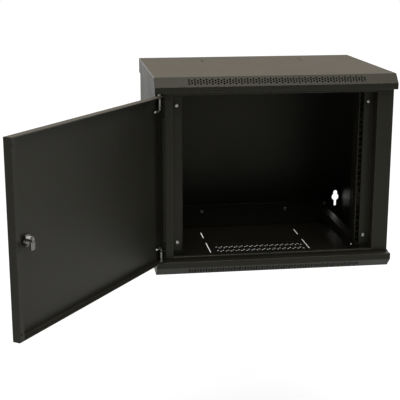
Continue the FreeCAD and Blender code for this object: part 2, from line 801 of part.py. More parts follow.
def make_lock():
    """Make the cam lock: barrel, hexagon nut, keyed plug, cam and the cam's screw."""
    reach = LOCK_REACH
    height = S["lock_height"]
    plug = S["lock_plug_radius"]
    bore = plug + S["lock_clearance"]

    barrel = make_body("lock_barrel")
    head = add_sketch(barrel, "head", "XZ_Plane", -DOOR_OUTER)
    add_circle(head, reach, height, S["lock_head_radius"])
    pad(barrel, head, S["lock_head_height"])
    tube = add_sketch(barrel, "tube", "XZ_Plane", -DOOR_OUTER)
    add_circle(tube, reach, height, S["lock_barrel_radius"])
    pad(barrel, tube, BARREL_LENGTH, reverse=True)
    hole = add_sketch(barrel, "bore", "XZ_Plane", -DOOR_OUTER)
    add_circle(hole, reach, height, bore)
    pocket(barrel, hole, BARREL_LENGTH * 3, symmetric=True)
    turn_with_door(barrel)

    nut = make_body("lock_nut")
    hexagon = add_sketch(nut, "hexagon", "XZ_Plane", -PANEL_INNER)
    corner = S["lock_nut_flats"] / math.sqrt(3)
    corners = []
    for index in range(6):
        angle = math.radians(60 * index)
        corners.append((reach + corner * math.cos(angle), height + corner * math.sin(angle)))
    add_outline(hexagon, corners)
    pad(nut, hexagon, S["lock_nut_height"], reverse=True)
    thread = add_sketch(nut, "thread", "XZ_Plane", -PANEL_INNER)
    add_circle(thread, reach, height, S["lock_barrel_radius"] + S["lock_clearance"])
    pocket(nut, thread, S["lock_nut_height"] * 3, symmetric=True)
    turn_with_door(nut)

    core = make_body("lock_plug")
    shaft = add_sketch(core, "shaft", "XZ_Plane", -DOOR_OUTER + S["lock_head_height"])
    add_circle(shaft, reach, height, plug)
    pad(core, shaft, BARREL_LENGTH + S["lock_head_height"], reverse=True)
    drive = add_sketch(core, "drive", "XZ_Plane", -CAM_FACE)
    half = S["lock_drive"] / 2
    add_rectangle(drive, reach - half, height - half, reach + half, height + half)
    pad(core, drive, S["cam_sheet"], reverse=True)
    keyway = add_sketch(core, "keyway", "XZ_Plane", -DOOR_OUTER + S["lock_head_height"])
    half_key = S["keyway_length"] / 2
    half_way = S["keyway_width"] / 2
    add_rectangle(
        keyway, reach - half_way, height - half_key, reach + half_way, height + half_key,
    )
    pocket(core, keyway, S["keyway_depth"] * 2, symmetric=True)
    turn_with_door(core)

    cam = make_body("lock_cam")
    plate = add_sketch(cam, "plate", "XZ_Plane", -CAM_FACE)
    half_cam = S["cam_width"] / 2
    add_rectangle(
        plate, reach - half_cam, height - S["cam_length"], reach + half_cam, height + half_cam,
    )
    pad(cam, plate, S["cam_sheet"], reverse=True)
    square = add_sketch(cam, "square", "XZ_Plane", -CAM_FACE)
    room = half + S["lock_clearance"]
    add_rectangle(square, reach - room, height - room, reach + room, height + room)
    pocket(cam, square, S["cam_sheet"] * 3, symmetric=True)
    turn_with_door(cam)

    screw = make_body("cam_screw")
    disc = add_sketch(screw, "head", "XZ_Plane", -CAM_FACE - S["cam_sheet"])
    add_circle(disc, reach, height, S["cam_screw_radius"])
    pad(screw, disc, S["cam_screw_height"], reverse=True)
    turn_with_door(screw)


def make_hinge(end, side):
    """Make one spring-loaded hinge pin with its guide, clip and spring."""
    door_edge = DOOR_TOP if side == UP else DOOR_BOTTOM
    radius = S["pin_radius"]
    bend = S["pin_bend"]
    zero = radius * 0

    def inward(distance):
        return door_edge - distance * side

    # The pin: straight leg on the hinge axis, a quarter bend, and the finger tail
    pin = make_body(f"hinge_pin_{end}")
    path = add_sketch(pin, "path", "XZ_Plane")
    tip = door_edge + (S["pin_engagement"] + (S["door_gap_top"] if side == UP
                                              else S["door_gap_bottom"])) * side
    low = inward(S["pin_drop"])
    bend_start = inward(S["pin_drop"] - bend)
    corner = V(0, low.number, 0)
    middle = V(
        bend.number * (1 - math.cos(math.pi / 4)),
        corner.y + side * bend.number * (1 - math.sin(math.pi / 4)), 0,
    )
    leg_end = V(0, bend_start.number, 0)
    tail_start = V(bend.number, low.number, 0)
    tail_end = V(S["pin_tail"].number, low.number, 0)
    path.addGeometry(Part.LineSegment(V(0, tip.number, 0), leg_end), False)
    path.addGeometry(Part.Arc(leg_end, middle, tail_start), False)
    path.addGeometry(Part.LineSegment(tail_start, tail_end), False)
    arc_start = 1 if side == UP else 2
    arc_end = 2 if side == UP else 1
    path.addConstraint(Sketcher.Constraint("Coincident", 0, 2, 1, arc_start))
    path.addConstraint(Sketcher.Constraint("Coincident", 1, arc_end, 2, 1))
    fix_coordinate(path, "DistanceX", 0, 1, zero)
    fix_coordinate(path, "DistanceY", 0, 1, tip)
    fix_coordinate(path, "DistanceX", 0, 2, zero)
    fix_coordinate(path, "DistanceY", 0, 2, bend_start)
    fix_coordinate(path, "DistanceX", 1, 3, bend)
    fix_coordinate(path, "DistanceX", 2, 1, bend)
    fix_coordinate(path, "DistanceY", 2, 1, low)
    fix_coordinate(path, "DistanceX", 2, 2, S["pin_tail"])
    fix_coordinate(path, "DistanceY", 2, 2, low)
    section = add_sketch(pin, "section", "XY_Plane", tip)
    add_circle(section, zero, zero, radius)
    rod = pin.newObject("PartDesign::AdditivePipe", f"{pin.Name}_rod")
    rod.Profile = section
    rod.Spine = (path, ["Edge1", "Edge2", "Edge3"])
    DOC.recompute()
    turn_with_door(pin)

    # The guide: a plate across the pin, with a leg against the door's panel
    guide = make_body(f"pin_guide_{end}")
    sheet = S["guide_sheet"]
    plate_face = inward(S["guide_drop"])
    heel = DOOR_HEEL + S["door_sheet"]
    profile = add_sketch(guide, "profile", "YZ_Plane", heel)
    add_outline(profile, [
        (PANEL_INNER, plate_face),
        (PANEL_INNER + S["guide_depth"], plate_face),
        (PANEL_INNER + S["guide_depth"], plate_face - sheet * side),
        (PANEL_INNER + sheet, plate_face - sheet * side),
        (PANEL_INNER + sheet, plate_face - S["guide_leg"] * side),
        (PANEL_INNER, plate_face - S["guide_leg"] * side),
    ])
    pad(guide, profile, -heel * 2)
    hole = add_sketch(guide, "hole", "XY_Plane", plate_face - sheet * side / 2)
    add_circle(hole, zero, zero, radius + S["pin_clearance"])
    pocket(guide, hole, sheet * 3, symmetric=True)
    turn_with_door(guide)

    # The clip: a collar fixed on the pin, which rests under the door's flange
    clip = make_body(f"pin_clip_{end}")
    clip_face = inward(S["door_sheet"])
    ring = add_sketch(clip, "ring", "XY_Plane", clip_face)
    add_circle(ring, zero, zero, S["clip_radius"])
    add_circle(ring, zero, zero, radius + S["pin_clearance"])
    pad(clip, ring, S["clip_height"], reverse=side == UP)
    turn_with_door(clip)

    # The spring: from the guide's plate to the clip, its wire square to stay light
    spring = make_body(f"hinge_spring_{end}")
    wire = S["spring_wire"]
    seat_low = plate_face if side == UP else inward(S["door_sheet"] + S["clip_height"])
    coil_height = S["guide_drop"] - S["door_sheet"] - S["clip_height"]
    wire_sketch = add_sketch(spring, "wire", "XZ_Plane")
    coil_radius = S["spring_radius"]
    add_rectangle(wire_sketch, coil_radius - wire, seat_low, coil_radius + wire, seat_low + wire * 2)
    coil = spring.newObject("PartDesign::AdditiveHelix", f"{spring.Name}_coil")
    coil.Profile = wire_sketch
    coil.ReferenceAxis = (wire_sketch, ["V_Axis"])
    coil.Mode = "height-turns-angle"
    coil.setExpression("Height", (coil_height - wire * 2).text)
    coil.setExpression("Turns", S["spring_turns"].text)
    DOC.recompute()
    turn_with_door(spring)


def build():
    """Make every sub-part of the cabinet."""
    make_cover("top_cover", UP)
    make_cover("bottom_cover", DOWN)
    for hand, word in ((-1, "left"), (1, "right")):
        make_post(f"front_post_{word}", hand)
        make_side_panel(f"side_panel_{word}", hand)
        make_rack_rail(f"rack_rail_{word}", hand)
        make_depth_rail(f"depth_rail_{word}_lower", hand, DOWN)
        make_depth_rail(f"depth_rail_{word}_upper", hand, UP)
    for side, word in ((DOWN, "lower"), (UP, "upper")):
        make_frame_rail(f"frame_rail_{word}", side)
        make_rear_rail(f"rear_rail_{word}", side)
    make_rear_panel("rear_panel")
    make_screws()
    make_door_panel("door_panel")
    make_lock()
    make_hinge("top", UP)
    make_hinge("bottom", DOWN)


def parts_of(doc):
    """Return the objects that are sub-parts: every body and every group of screws."""
    return [item for item in doc.Objects if item.TypeId in ("PartDesign::Body", "Part::Compound")]


def check(doc):
    """Raise an error if any object failed or any sub-part has no valid shape."""
    doc.recompute()
    for item in doc.Objects:
        if "Invalid" in item.State or "Error" in item.State:
            raise RuntimeError(f"{item.Name} failed: {item.State}")
    for item in parts_of(doc):
        if item.Shape.isNull() or not item.Shape.isValid():
            raise RuntimeError(f"{item.Name} has no valid shape")


def export(doc):
    """Write each sub-part to a STEP file of its own name."""
    os.makedirs("parts", exist_ok=True)
    for item in parts_of(doc):
        item.Shape.exportStep(os.path.join("parts", f"{item.Label}.step"))


build()
check(DOC)
export(DOC)
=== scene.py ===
"""Wall-mounted network cabinet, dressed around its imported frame: folded sheet, fittings, finishes."""

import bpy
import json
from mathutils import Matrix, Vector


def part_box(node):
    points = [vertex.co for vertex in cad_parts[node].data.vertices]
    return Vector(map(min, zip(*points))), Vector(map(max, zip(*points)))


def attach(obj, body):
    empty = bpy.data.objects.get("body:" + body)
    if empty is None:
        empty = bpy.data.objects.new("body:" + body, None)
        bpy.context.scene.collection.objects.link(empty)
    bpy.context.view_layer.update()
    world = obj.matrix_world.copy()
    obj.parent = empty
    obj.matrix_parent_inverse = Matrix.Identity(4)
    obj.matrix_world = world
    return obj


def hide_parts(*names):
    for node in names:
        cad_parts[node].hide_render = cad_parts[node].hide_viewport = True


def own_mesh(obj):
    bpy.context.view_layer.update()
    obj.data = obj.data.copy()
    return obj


bl_info = {
    "name": "Wall-mounted network cabinet",
    "version": (1, 0, 0),
    "blender": (4, 5, 0),
    "location": "View3D > Sidebar > Cabinet",
    "description": "Builds the folded sheet metal, fittings and finishes of a 9U network cabinet",
    "category": "Object",
}

import json
import math

import bpy
import numpy as np
from mathutils import Vector
from mathutils.geometry import delaunay_2d_cdt

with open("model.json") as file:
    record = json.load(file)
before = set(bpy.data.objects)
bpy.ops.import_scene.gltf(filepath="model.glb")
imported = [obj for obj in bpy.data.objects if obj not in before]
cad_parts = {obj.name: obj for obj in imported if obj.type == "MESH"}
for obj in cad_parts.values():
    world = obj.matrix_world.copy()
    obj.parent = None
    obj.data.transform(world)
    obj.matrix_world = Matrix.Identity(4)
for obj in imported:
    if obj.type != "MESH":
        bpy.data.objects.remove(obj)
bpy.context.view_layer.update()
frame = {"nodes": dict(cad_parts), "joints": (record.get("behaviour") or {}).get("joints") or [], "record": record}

X = np.array([1.0, 0.0, 0.0])
Y = np.array([0.0, 1.0, 0.0])
Z = np.array([0.0, 0.0, 1.0])
BEND_STEPS = 5             # straight steps in each bend
WELD = 2e-6                # points closer than this become one
SIDES = {1: "right", -1: "left"}
ENDS = {1: "upper", -1: "lower"}

# Lengths in metres that no user would change
PIN_HOLE = 0.00305         # radius of the holes for the hinge pins
LOCK_PLAY = 0.00005        # play round the lock's plug, thread and square drive
LOCK_HEAD = 0.002          # height of the barrel's head
HEAD_BEVEL = 0.0007        # bevel round the barrel's head
THREAD_START = 0.0008      # from the head to the first turn of the thread
CHAMFER = 0.0006           # chamfer at the ends of the barrel and of the nut's bore
BROKEN_EDGE = 0.0002       # the smallest bevel on a turned edge
CAM_ROOM = 0.003           # room round the cam in its slot
TAB_ROOT = 0.006           # what each end tab takes off a depth rail's flange
NOTCH_WALL = 0.001         # what the lock's notch leaves beside the door's edge
OPEN_HEM = 0.0008          # what an edge of the door without a lip keeps past its bend
DUST_REACH = 0.035         # sets how far from the floor and the top the settled dust thins out

VENT_PAIRS = 31            # pairs of columns of vents in a slope
# Each band of floor vents: its place from front to back, and its share of the vents' radius
FLOOR_VENT_BANDS = ((-0.028, 1.0), (0.005, 1.0), (0.040, 0.5))
NUT_CONE = 1.01            # reach of the cone that chamfers the nut, as a share of its flats
NUT_SLOPE = 0.58           # rise of that cone for each step outwards, a slope of 30 degrees
DRIVE_TIP = 0.93           # share of the square drive's width that is left at its end
DOME_RIM = 0.35            # height of a screw's dome at its rim, as a share of the head's
RECESS_FOOT = 0.62         # share of the cross recess's size that is left at its foot
RECESS_POINT = 0.9         # height of the recess's middle, as a share of its foot's
PIN_CAP = (0.0, 0.13, 0.5, 1.0)   # rings of a pin's round end, as shares of the pin's radius
SCREW_TURN = 2.4           # how far each screw's recess is turned from the last one's
FIRST_TURN = 0.5           # how far the first one's is turned
WIPED_DUST = 0.05          # share of the settled dust on the ledges between floor and top
FLOOR_DUST = 0.15          # share of it on the floor inside


# ---------------------------------------------------------------- sizes and colours


def size(name, description, default):
    """A length that the user can change, in metres."""
    return bpy.props.FloatProperty(
        name=name, description=description, default=default, min=0.0, unit="LENGTH", precision=5,
    )


def colour(name, description, default):
    """A colour that the user can change, as linear red, green and blue."""
    return bpy.props.FloatVectorProperty(
        name=name, description=description, default=default, subtype="COLOR", min=0.0, max=1.0,
    )


def share(name, description, default):
    """A plain number from nought to one that the user can change."""
    return bpy.props.FloatProperty(
        name=name, description=description, default=default, min=0.0, max=1.0, subtype="FACTOR",
    )


class CabinetSizes(bpy.types.PropertyGroup):
    """Sizes of the folded sheet, the holes and the fittings."""

    cover_sheet: size("Cover sheet", "Thickness of the covers, the panels and the door", 0.0012)
    frame_sheet: size("Frame sheet", "Thickness of the posts and rails", 0.0015)
    bend_inside: size("Inside bend", "Inside radius of every bend", 0.0008)
    rim_radius: size("Rim radius", "Outside radius of the covers' side edges", 0.0016)
    slope_run: size("Slope run", "Depth of the covers' sloped front edge", 0.0214)
    slope_drop: size("Slope drop", "Height of the covers' sloped front edge", 0.022)
    fascia: size("Fascia", "Height of the covers' upright front face", 0.0155)
    vent_radius: size("Vent radius", "Radius of the vents in the slopes", 0.0025)
    vent_pitch: size("Vent pitch", "Distance between columns of vents", 0.0071)
    vent_row: size("Vent row", "Distance between vents of one column", 0.0063)
    floor_vent_radius: size("Floor vent radius", "Radius of the vents in the floor", 0.0030)
    floor_vent_pitch: size("Floor vent pitch", "Distance between floor vents", 0.0142)
    floor_vent_row: size("Floor vent row", "Distance between the two lines of a band", 0.008)
    floor_vent_half: size("Floor vent half", "Half the length of a band of floor vents", 0.121)
    knockout_x: size("Knock-out", "Half the distance between the knock-out slits", 0.136)
    slit: size("Slit", "Width of the knock-out slits", 0.0019)
    rear_slit: bpy.props.FloatVectorProperty(
        name="Rear slit", description="Start and end of the rear slits from the back", size=2,
        default=(0.072, 0.128), unit="LENGTH",
    )
    floor_slit: bpy.props.FloatVectorProperty(
        name="Floor slit", description="Start and end of the floor's front slits", size=2,
        default=(0.173, 0.264), unit="LENGTH",
    )
    keyhole_inset: size("Keyhole inset", "Keyhole's distance from the body's side", 0.019)
    keyhole_height: size("Keyhole height", "Keyhole's distance from the floor or the top", 0.075)
    keyhole_radius: size("Keyhole", "Radius of the keyholes", 0.0102)
    keyhole_up: size("Upper stem", "Half the width of a keyhole's upper stem", 0.0058)
    keyhole_down: size("Lower stem", "Half the width of a keyhole's lower stem", 0.0034)
    keyhole_rise: size("Keyhole rise", "Reach of a keyhole upwards", 0.020)
    keyhole_fall: size("Keyhole fall", "Reach of a keyhole downwards", 0.027)
    rear_rail_flange: size("Rear flange", "Height of the rear rails' flange", 0.016)
    door_lip: size("Door lip", "Width of the door's turned-in lip", 0.014)
    pin_room: size("Pin room", "Height that the hinge lip leaves free for a hinge pin", 0.052)
    corner_relief: size("Corner relief", "Radius of the reliefs in the door's free lip", 0.0024)
    relief_height: size("Relief height", "Distance of these reliefs from the door's ends", 0.017)
    lock_hole: size("Lock hole", "Radius of the hole for the lock", 0.00945)
    notch_height: size("Notch", "Height of the notch in the lip beside the lock", 0.022)
    rack_leg: size("Upright leg", "Depth of the uprights' outer leg", 0.030)
    rack_hole_inset: size("Hole inset", "Distance of the square holes from the web", 0.00756)
    rack_hole_offset: size("Hole offset", "Distance of a unit's outer holes from its end", 0.00635)
    front_tab_rise: size("Front tab", "Rise of the depth rails' front tabs", 0.038)
    rear_tab_rise: size("Rear tab", "Rise of the depth rails' rear tabs", 0.024)
    tab_width: size("Tab width", "Width of the depth rails' tabs", 0.0162)
    slot_margin: size("Slot margin", "Distance of the web's slots from its rear edge", 0.004)
    rack_hole: size("Rack hole", "Side of the square holes for equipment", 0.0095)
    rack_unit: size("Rack unit", "Height of one unit of equipment", 0.04445)
    slot_length: size("Slot length", "Length of the slots in the uprights' webs", 0.020)
    slot_width: size("Slot width", "Width of the slots in the uprights' webs", 0.0052)
    slot_pitch: size("Slot pitch", "Distance between the slots in the uprights' webs", 0.010)
    recess_length: size("Recess", "Half the length of the screws' cross recess", 0.0024)
    recess_width: size("Recess width", "Half the width of the screws' cross recess", 0.0006)
    recess_depth: size("Recess depth", "Depth of the screws' cross recess", 0.0016)
    lock_drive: size("Lock drive", "Side of the plug's square drive", 0.007)
    keyway_width: size("Keyway width", "Width of the plug's keyway", 0.0012)
    keyway_length: size("Keyway length", "Length of the plug's keyway", 0.0065)
    keyway_depth: size("Keyway depth", "Depth of the plug's keyway", 0.004)
    lock_stub: size("Lock stub", "What the lock's inner end falls short of its longest", 0.008)
    cam_reach: size("Cam reach", "Reach of the cam from the lock's axis", 0.019)
    cam_corner: size("Cam corner", "Radius of the corners of the cam's tip", 0.004)
    pin_bend: size("Pin bend", "Bend radius of the hinge pins", 0.006)
    spring_wire: size("Spring wire", "Half the thickness of the springs' wire", 0.00045)
    spring_turns: bpy.props.IntProperty(
        name="Spring turns", description="Turns of each hinge spring", default=9, min=4, max=20,
    )
    thread_pitch: size("Thread pitch", "Pitch of the lock barrel's thread", 0.001)
    thread_depth: size("Thread depth", "Depth of the lock barrel's thread", 0.0004)


class CabinetColours(bpy.types.PropertyGroup):
    """Colours and gloss of the finishes."""

    coat: colour("Powder coat", "Colour of the black powder coat", (0.0135, 0.0135, 0.0100))
    gloss_tint: colour("Gloss tint", "Tint of the powder coat's gloss", (1.0, 0.97, 0.82))
    film: share("Dust film", "Weight of the thin dust film on every face", 0.02)
    film_tint: colour("Film tint", "Colour of the thin dust film", (1.0, 0.84, 0.58))
    coat_roughness: share("Coat roughness", "Roughness of the powder coat", 0.38)
    dust: colour("Dust", "Colour of the dust that settles on level faces", (0.170, 0.127, 0.071))
    dust_least: share("Least dust", "Cover of the dust where it is thinnest", 0.28)
    dust_most: share("Most dust", "Cover of the dust where it is thickest", 0.38)
    rubbed: colour("Rubbed edge", "Colour of the coat where its edges are rubbed", (0.06, 0.058, 0.05))
    zinc: colour("Zinc plate", "Colour of the plated screws, pins and clips", (0.60, 0.61, 0.61))
    zinc_tint: colour("Zinc tint", "Second colour of the zinc plate", (0.66, 0.64, 0.55))
    # The nickel is far darker than bare nickel plate: its colour is painted shade, standing in for the dark room
    # that the lock reflects.
    nickel: colour("Nickel plate", "Colour of the plated lock", (0.27, 0.265, 0.25))
    steel: colour("Spring steel", "Colour of the bare springs", (0.45, 0.45, 0.46))


class StudioSettings(bpy.types.PropertyGroup):
    """Camera, floor and lamps."""

    camera_place: bpy.props.FloatVectorProperty(
        name="Camera place", description="Where the camera stands",
        default=(-0.5254, -2.5600, 0.8008), subtype="XYZ", unit="LENGTH",
    )
    camera_yaw: bpy.props.FloatProperty(
        name="Camera yaw", description="Turn of the view to the right of straight ahead",
        default=math.radians(8.13), subtype="ANGLE", unit="ROTATION",
    )
    camera_pitch: bpy.props.FloatProperty(
        name="Camera pitch", description="Tilt of the view below the horizon",
        default=math.radians(14.39), subtype="ANGLE", unit="ROTATION",
    )
    camera_lens: bpy.props.FloatProperty(
        name="Lens", description="Focal length in millimetres on a 36 mm sensor",
        default=89.5, min=10.0, unit="CAMERA",
    )
    floor_height: bpy.props.FloatProperty(
        name="Floor height", description="Height of the floor below the hanging cabinet",
        default=-0.45, unit="LENGTH",
    )
    floor_glow: share("Floor glow", "Light that the floor adds for the camera", 0.62)
    floor_gloss: share("Floor gloss", "Share of that light that gloss and glass see", 0.18)
    back_light: share("Back light", "Level of the backdrop behind the cabinet", 1.0)
    room_light: share("Room light", "Level of the room in front of the cabinet", 0.055)
    top_light: share("Top light", "Light added from above", 0.7)
    side_light: share("Side light", "Light added from the right", 0.35)
    overhead_power: bpy.props.FloatProperty(
        name="Overhead lamp", description="Power of the lamp above", default=16.0, min=0.0,
        unit="POWER",
    )
    front_power: bpy.props.FloatProperty(
        name="Front lamp", description="Power of the strip lamp above the front", default=22.0,
        min=0.0, unit="POWER",
    )


# ---------------------------------------------------------------- sheet metal


def bent_line(corners, sheet, inside, side):
    """Bend a line of straight runs at its corners.

    Each corner gives way to an arc that touches both runs. Its radius is the inside radius where
    the line's outer side is hollow, and that plus the sheet where it is proud. Returns the points,
    their outward normals, the running length at each, and how far each arc starts from its corner.
    The outer side is on the left of the line where side is 1, and on the right where it is -1.
    """
    corners = np.asarray(corners, float)
    runs = np.diff(corners, axis=0)
    ways = runs / np.linalg.norm(runs, axis=1)[:, None]
    left = np.stack([-ways[:, 1], ways[:, 0]], axis=1)
    before, after = ways[:-1], ways[1:]
    cross = before[:, 0] * after[:, 1] - before[:, 1] * after[:, 0]
    turn = np.arctan2(cross, np.sum(before * after, axis=1))
    radius = np.where(turn * side < 0, inside + sheet, inside)
    setback = radius * np.tan(np.abs(turn) / 2)
    start = corners[1:-1] - before * setback[:, None]
    centre = start + left[:-1] * (radius * np.sign(turn))[:, None]
    angle = turn[:, None] * np.linspace(0, 1, BEND_STEPS + 1)
    cos, sin = np.cos(angle), np.sin(angle)

    def swung(vectors):
        """The vectors turned through each step of their corner's bend."""
        a, b = vectors[:, :1], vectors[:, 1:]
        return np.stack([a * cos - b * sin, a * sin + b * cos], axis=-1)

    arcs = centre[:, None] + swung(start - centre)
    facing = swung(side * left[:-1])
    points = np.vstack([corners[:1], arcs.reshape(-1, 2), corners[-1:]])
    normals = np.vstack([side * left[:1], facing.reshape(-1, 2), side * left[-1:]])
    steps = np.linalg.norm(np.diff(points, axis=0), axis=1)
    return points, normals, np.concatenate([[0.0], np.cumsum(steps)]), setback


def along(line, run, distance):
    """The running length at a distance from the sharp corner that a run of the line starts at."""
    setback = line[3][run - 1] if run else 0.0
    return line[2][run * (BEND_STEPS + 1)] + distance - setback


def rectangle(left, low, right, high):
    """Corners of a rectangle, anticlockwise."""
    return np.array([(left, low), (right, low), (right, high), (left, high)], float)


def arc(centre, radius, start, end, steps):
    """Points on an arc: centre plus radius times (cos, sin) of angles from start to end."""
    angle = np.linspace(start, end, steps)
    return np.asarray(centre) + radius * np.stack([np.cos(angle), np.sin(angle)], axis=-1)


def rounds(centres, radius, steps=14):
    """One circle round each centre, all at once."""
    angle = np.arange(steps) * (2 * np.pi / steps)
    ring = radius * np.stack([np.cos(angle), np.sin(angle)], axis=-1)
    return list(np.asarray(centres, float)[:, None] + ring)


def boxes(centres, width, height):
    """One rectangle round each centre, all at once."""
    ring = rectangle(-width / 2, -height / 2, width / 2, height / 2)
    return list(np.asarray(centres, float)[:, None] + ring)


def lattice(across, down):
    """Every pair of a place across and a place down."""
    return np.stack(np.meshgrid(across, down, indexing="ij"), axis=-1).reshape(-1, 2)


def facing_left(loop):
    """The same loop, anticlockwise."""
    x, y = loop[:, 0], loop[:, 1]
    area = np.sum(x * np.roll(y, -1) - y * np.roll(x, -1))
    return loop if area > 0 else loop[::-1]


def flat_pattern(outline, folds, holes):
    """Triangles of a flat sheet, with its fold lines kept as edges and its holes left open."""
    loops = [facing_left(np.asarray(loop, float)) for loop in [outline, *holes]]
    ends = np.cumsum([len(loop) for loop in loops])
    low, high = loops[0].min(0), loops[0].max(0)
    folds = folds[(folds > low[1] + WELD) & (folds < high[1] - WELD)]
    lines = np.stack([
        np.stack([np.full_like(folds, low[0]), folds], -1),
        np.stack([np.full_like(folds, high[0]), folds], -1),
    ], axis=1).reshape(-1, 2)
    points = np.vstack([*loops, lines])
    faces = [list(range(end - len(loop), end)) for loop, end in zip(loops, ends)]
    edges = (np.arange(len(lines)).reshape(-1, 2) + ends[-1]).tolist()
    found = delaunay_2d_cdt([Vector(point) for point in points], edges, faces, 0, 1e-8)
    kept = np.array([owners == [0] for owners in found[5]], bool)
    return np.array(found[0], float), np.array(found[2], int)[kept]


def folded(line, outline, holes, origin, ways):
    """Fold a flat pattern along a bent line.

    A point (u, v) of the flat pattern goes to origin + u U + a(v) A + b(v) B, where (a, b) is the
    place on the line at running length v, and U, A and B are the three ways given.
    """
    flat, triangles = flat_pattern(outline, line[2], holes)
    u, v = flat[:, 0], flat[:, 1]
    bent = [np.interp(v, line[2], line[0][:, axis]) for axis in (0, 1)]
    facing = [np.interp(v, line[2], line[1][:, axis]) for axis in (0, 1)]
    points = np.asarray(origin, float) + np.outer(u, ways[0])
    points = points + np.outer(bent[0], ways[1]) + np.outer(bent[1], ways[2])
    normals = np.outer(facing[0], ways[1]) + np.outer(facing[1], ways[2])
    bend = np.ptp(facing[0][triangles], axis=1) + np.ptp(facing[1][triangles], axis=1) > 1e-3
    return facing_out(points, unit(normals), triangles), bend


def unit(vectors):
    """The same vectors at length one."""
    return vectors / np.maximum(np.linalg.norm(vectors, axis=-1, keepdims=True), 1e-12)


def facing_out(points, normals, triangles):
    """Turn each triangle so that its winding agrees with its normals."""
    a, b, c = (points[triangles[:, corner]] for corner in range(3))
    agrees = np.sum(np.cross(b - a, c - a) * normals[triangles[:, 0]], axis=1) > 0
    triangles = np.where(agrees[:, None], triangles, triangles[:, ::-1])
    return points, normals, triangles


def grid_triangles(rows, columns):
    """Two triangles for each cell of a grid of points, row by row."""
    corner = (np.arange(rows - 1)[:, None] * columns + np.arange(columns - 1)).ravel()
    lower = np.stack([corner, corner + 1, corner + columns + 1], -1)
    upper = np.stack([corner, corner + columns + 1, corner + columns], -1)
    return np.vstack([lower, upper])


def welded_points(points):
    """Which points stay when near ones become one, and which of those each point becomes."""
    keys = np.round(points / WELD).astype(np.int64)
    _, first, weld = np.unique(keys, axis=0, return_index=True, return_inverse=True)
    return first, weld.ravel()


def three_cornered(triangles):
    """Which triangles still have three different corners."""
    a, b, c = triangles.T
    return (a != b) & (b != c) & (a != c)


def add_object(name, points, faces, normals, marks, material):
    """Put whole arrays of points, faces, corner normals and edge marks into a new object."""
    mesh = bpy.data.meshes.new(name)
    mesh.from_pydata(points.tolist(), [], faces)
    mesh.polygons.foreach_set("use_smooth", np.ones(len(faces), bool))
    mesh.attributes.new("edge", "FLOAT", "FACE").data.foreach_set("value", marks.astype(np.float32))
    mesh.update()
    if normals is not None:
        mesh.normals_split_custom_set(normals.tolist())
    mesh.materials.append(material)
    piece = bpy.data.objects.new(name, mesh)
    bpy.context.scene.collection.objects.link(piece)
    return piece


def sheet_piece(name, patches, thickness, material):
    """Weld folded patches into one skin and give it its thickness.

    The inner skin is the outer one moved inwards by the sheet's thickness, mitred where patches
    meet at an angle, and every free edge is closed by a strip between the two.
    """
    counts = np.cumsum([0] + [len(patch[0][0]) for patch in patches])
    points = np.vstack([patch[0][0] for patch in patches])
    normals = np.vstack([patch[0][1] for patch in patches])
    triangles = np.vstack([patch[0][2] + start for patch, start in zip(patches, counts)])
    marks = np.concatenate([patch[1] for patch in patches]).astype(float)
    used = np.unique(triangles)
    renumber = np.full(len(points), -1)
    renumber[used] = np.arange(len(used))
    points, normals, triangles = points[used], normals[used], renumber[triangles]
    first, weld = welded_points(points)
    outer = points[first]
    pairs = np.unique(np.column_stack([weld, np.round(normals * 200).astype(np.int64)]), axis=0)
    total = np.zeros_like(outer)
    count = np.zeros(len(outer))
    np.add.at(total, pairs[:, 0], unit(pairs[:, 1:].astype(float)))
    np.add.at(count, pairs[:, 0], 1.0)
    single = np.zeros_like(outer)
    single[weld] = normals
    mitre = total * (count / np.maximum(np.sum(total * total, axis=1), 1e-9))[:, None]
    inward = np.where((count > 1)[:, None], mitre, single)
    inner = outer - inward * thickness
    welded = weld[triangles]
    sound = three_cornered(welded)
    welded, triangles, marks = welded[sound], triangles[sound], marks[sound]
    half = np.vstack([welded[:, [0, 1]], welded[:, [1, 2]], welded[:, [2, 0]]])
    _, where, times = np.unique(np.sort(half, 1), axis=0, return_index=True, return_counts=True)
    free = half[where[times == 1]]
    inner_start = len(outer)
    rim = np.column_stack([free[:, ::-1], free + inner_start])
    both = np.vstack([outer, inner])
    across = np.cross(both[rim[:, 1]] - both[rim[:, 0]], both[rim[:, 2]] - both[rim[:, 0]])
    rim_normals = np.repeat(unit(across), 4, axis=0)
    corner_normals = np.vstack([
        normals[triangles.ravel()], -normals[triangles[:, ::-1].ravel()], rim_normals,
    ])
    faces = welded.tolist() + (welded[:, ::-1] + inner_start).tolist() + rim.tolist()
    all_marks = np.concatenate([marks, marks, np.ones(len(rim))])
    return add_object(name, both, faces, corner_normals, all_marks, material)


def solid_piece(name, grids, material):
    """Join closed grids of points, each a rows by columns array, into one smooth-cornered piece."""
    points = np.vstack([grid.reshape(-1, 3) for grid in grids])
    starts = np.cumsum([0] + [grid.shape[0] * grid.shape[1] for grid in grids])
    cells = [grid_triangles(*grid.shape[:2]) + start for grid, start in zip(grids, starts)]
    first, weld = welded_points(points)
    faces = weld[np.vstack(cells)]
    faces = faces[three_cornered(faces)]
    piece = add_object(name, points[first], faces.tolist(), None, np.zeros(len(faces)), material)
    piece.data.set_sharp_from_angle(angle=math.radians(32))
    return piece


def about(axis, side):
    """Two ways square to an axis, the first nearest to the side given, and the axis itself."""
    first = unit(np.asarray(side, float) - np.dot(side, axis) * np.asarray(axis, float))
    return first, np.cross(axis, first), np.asarray(axis, float)


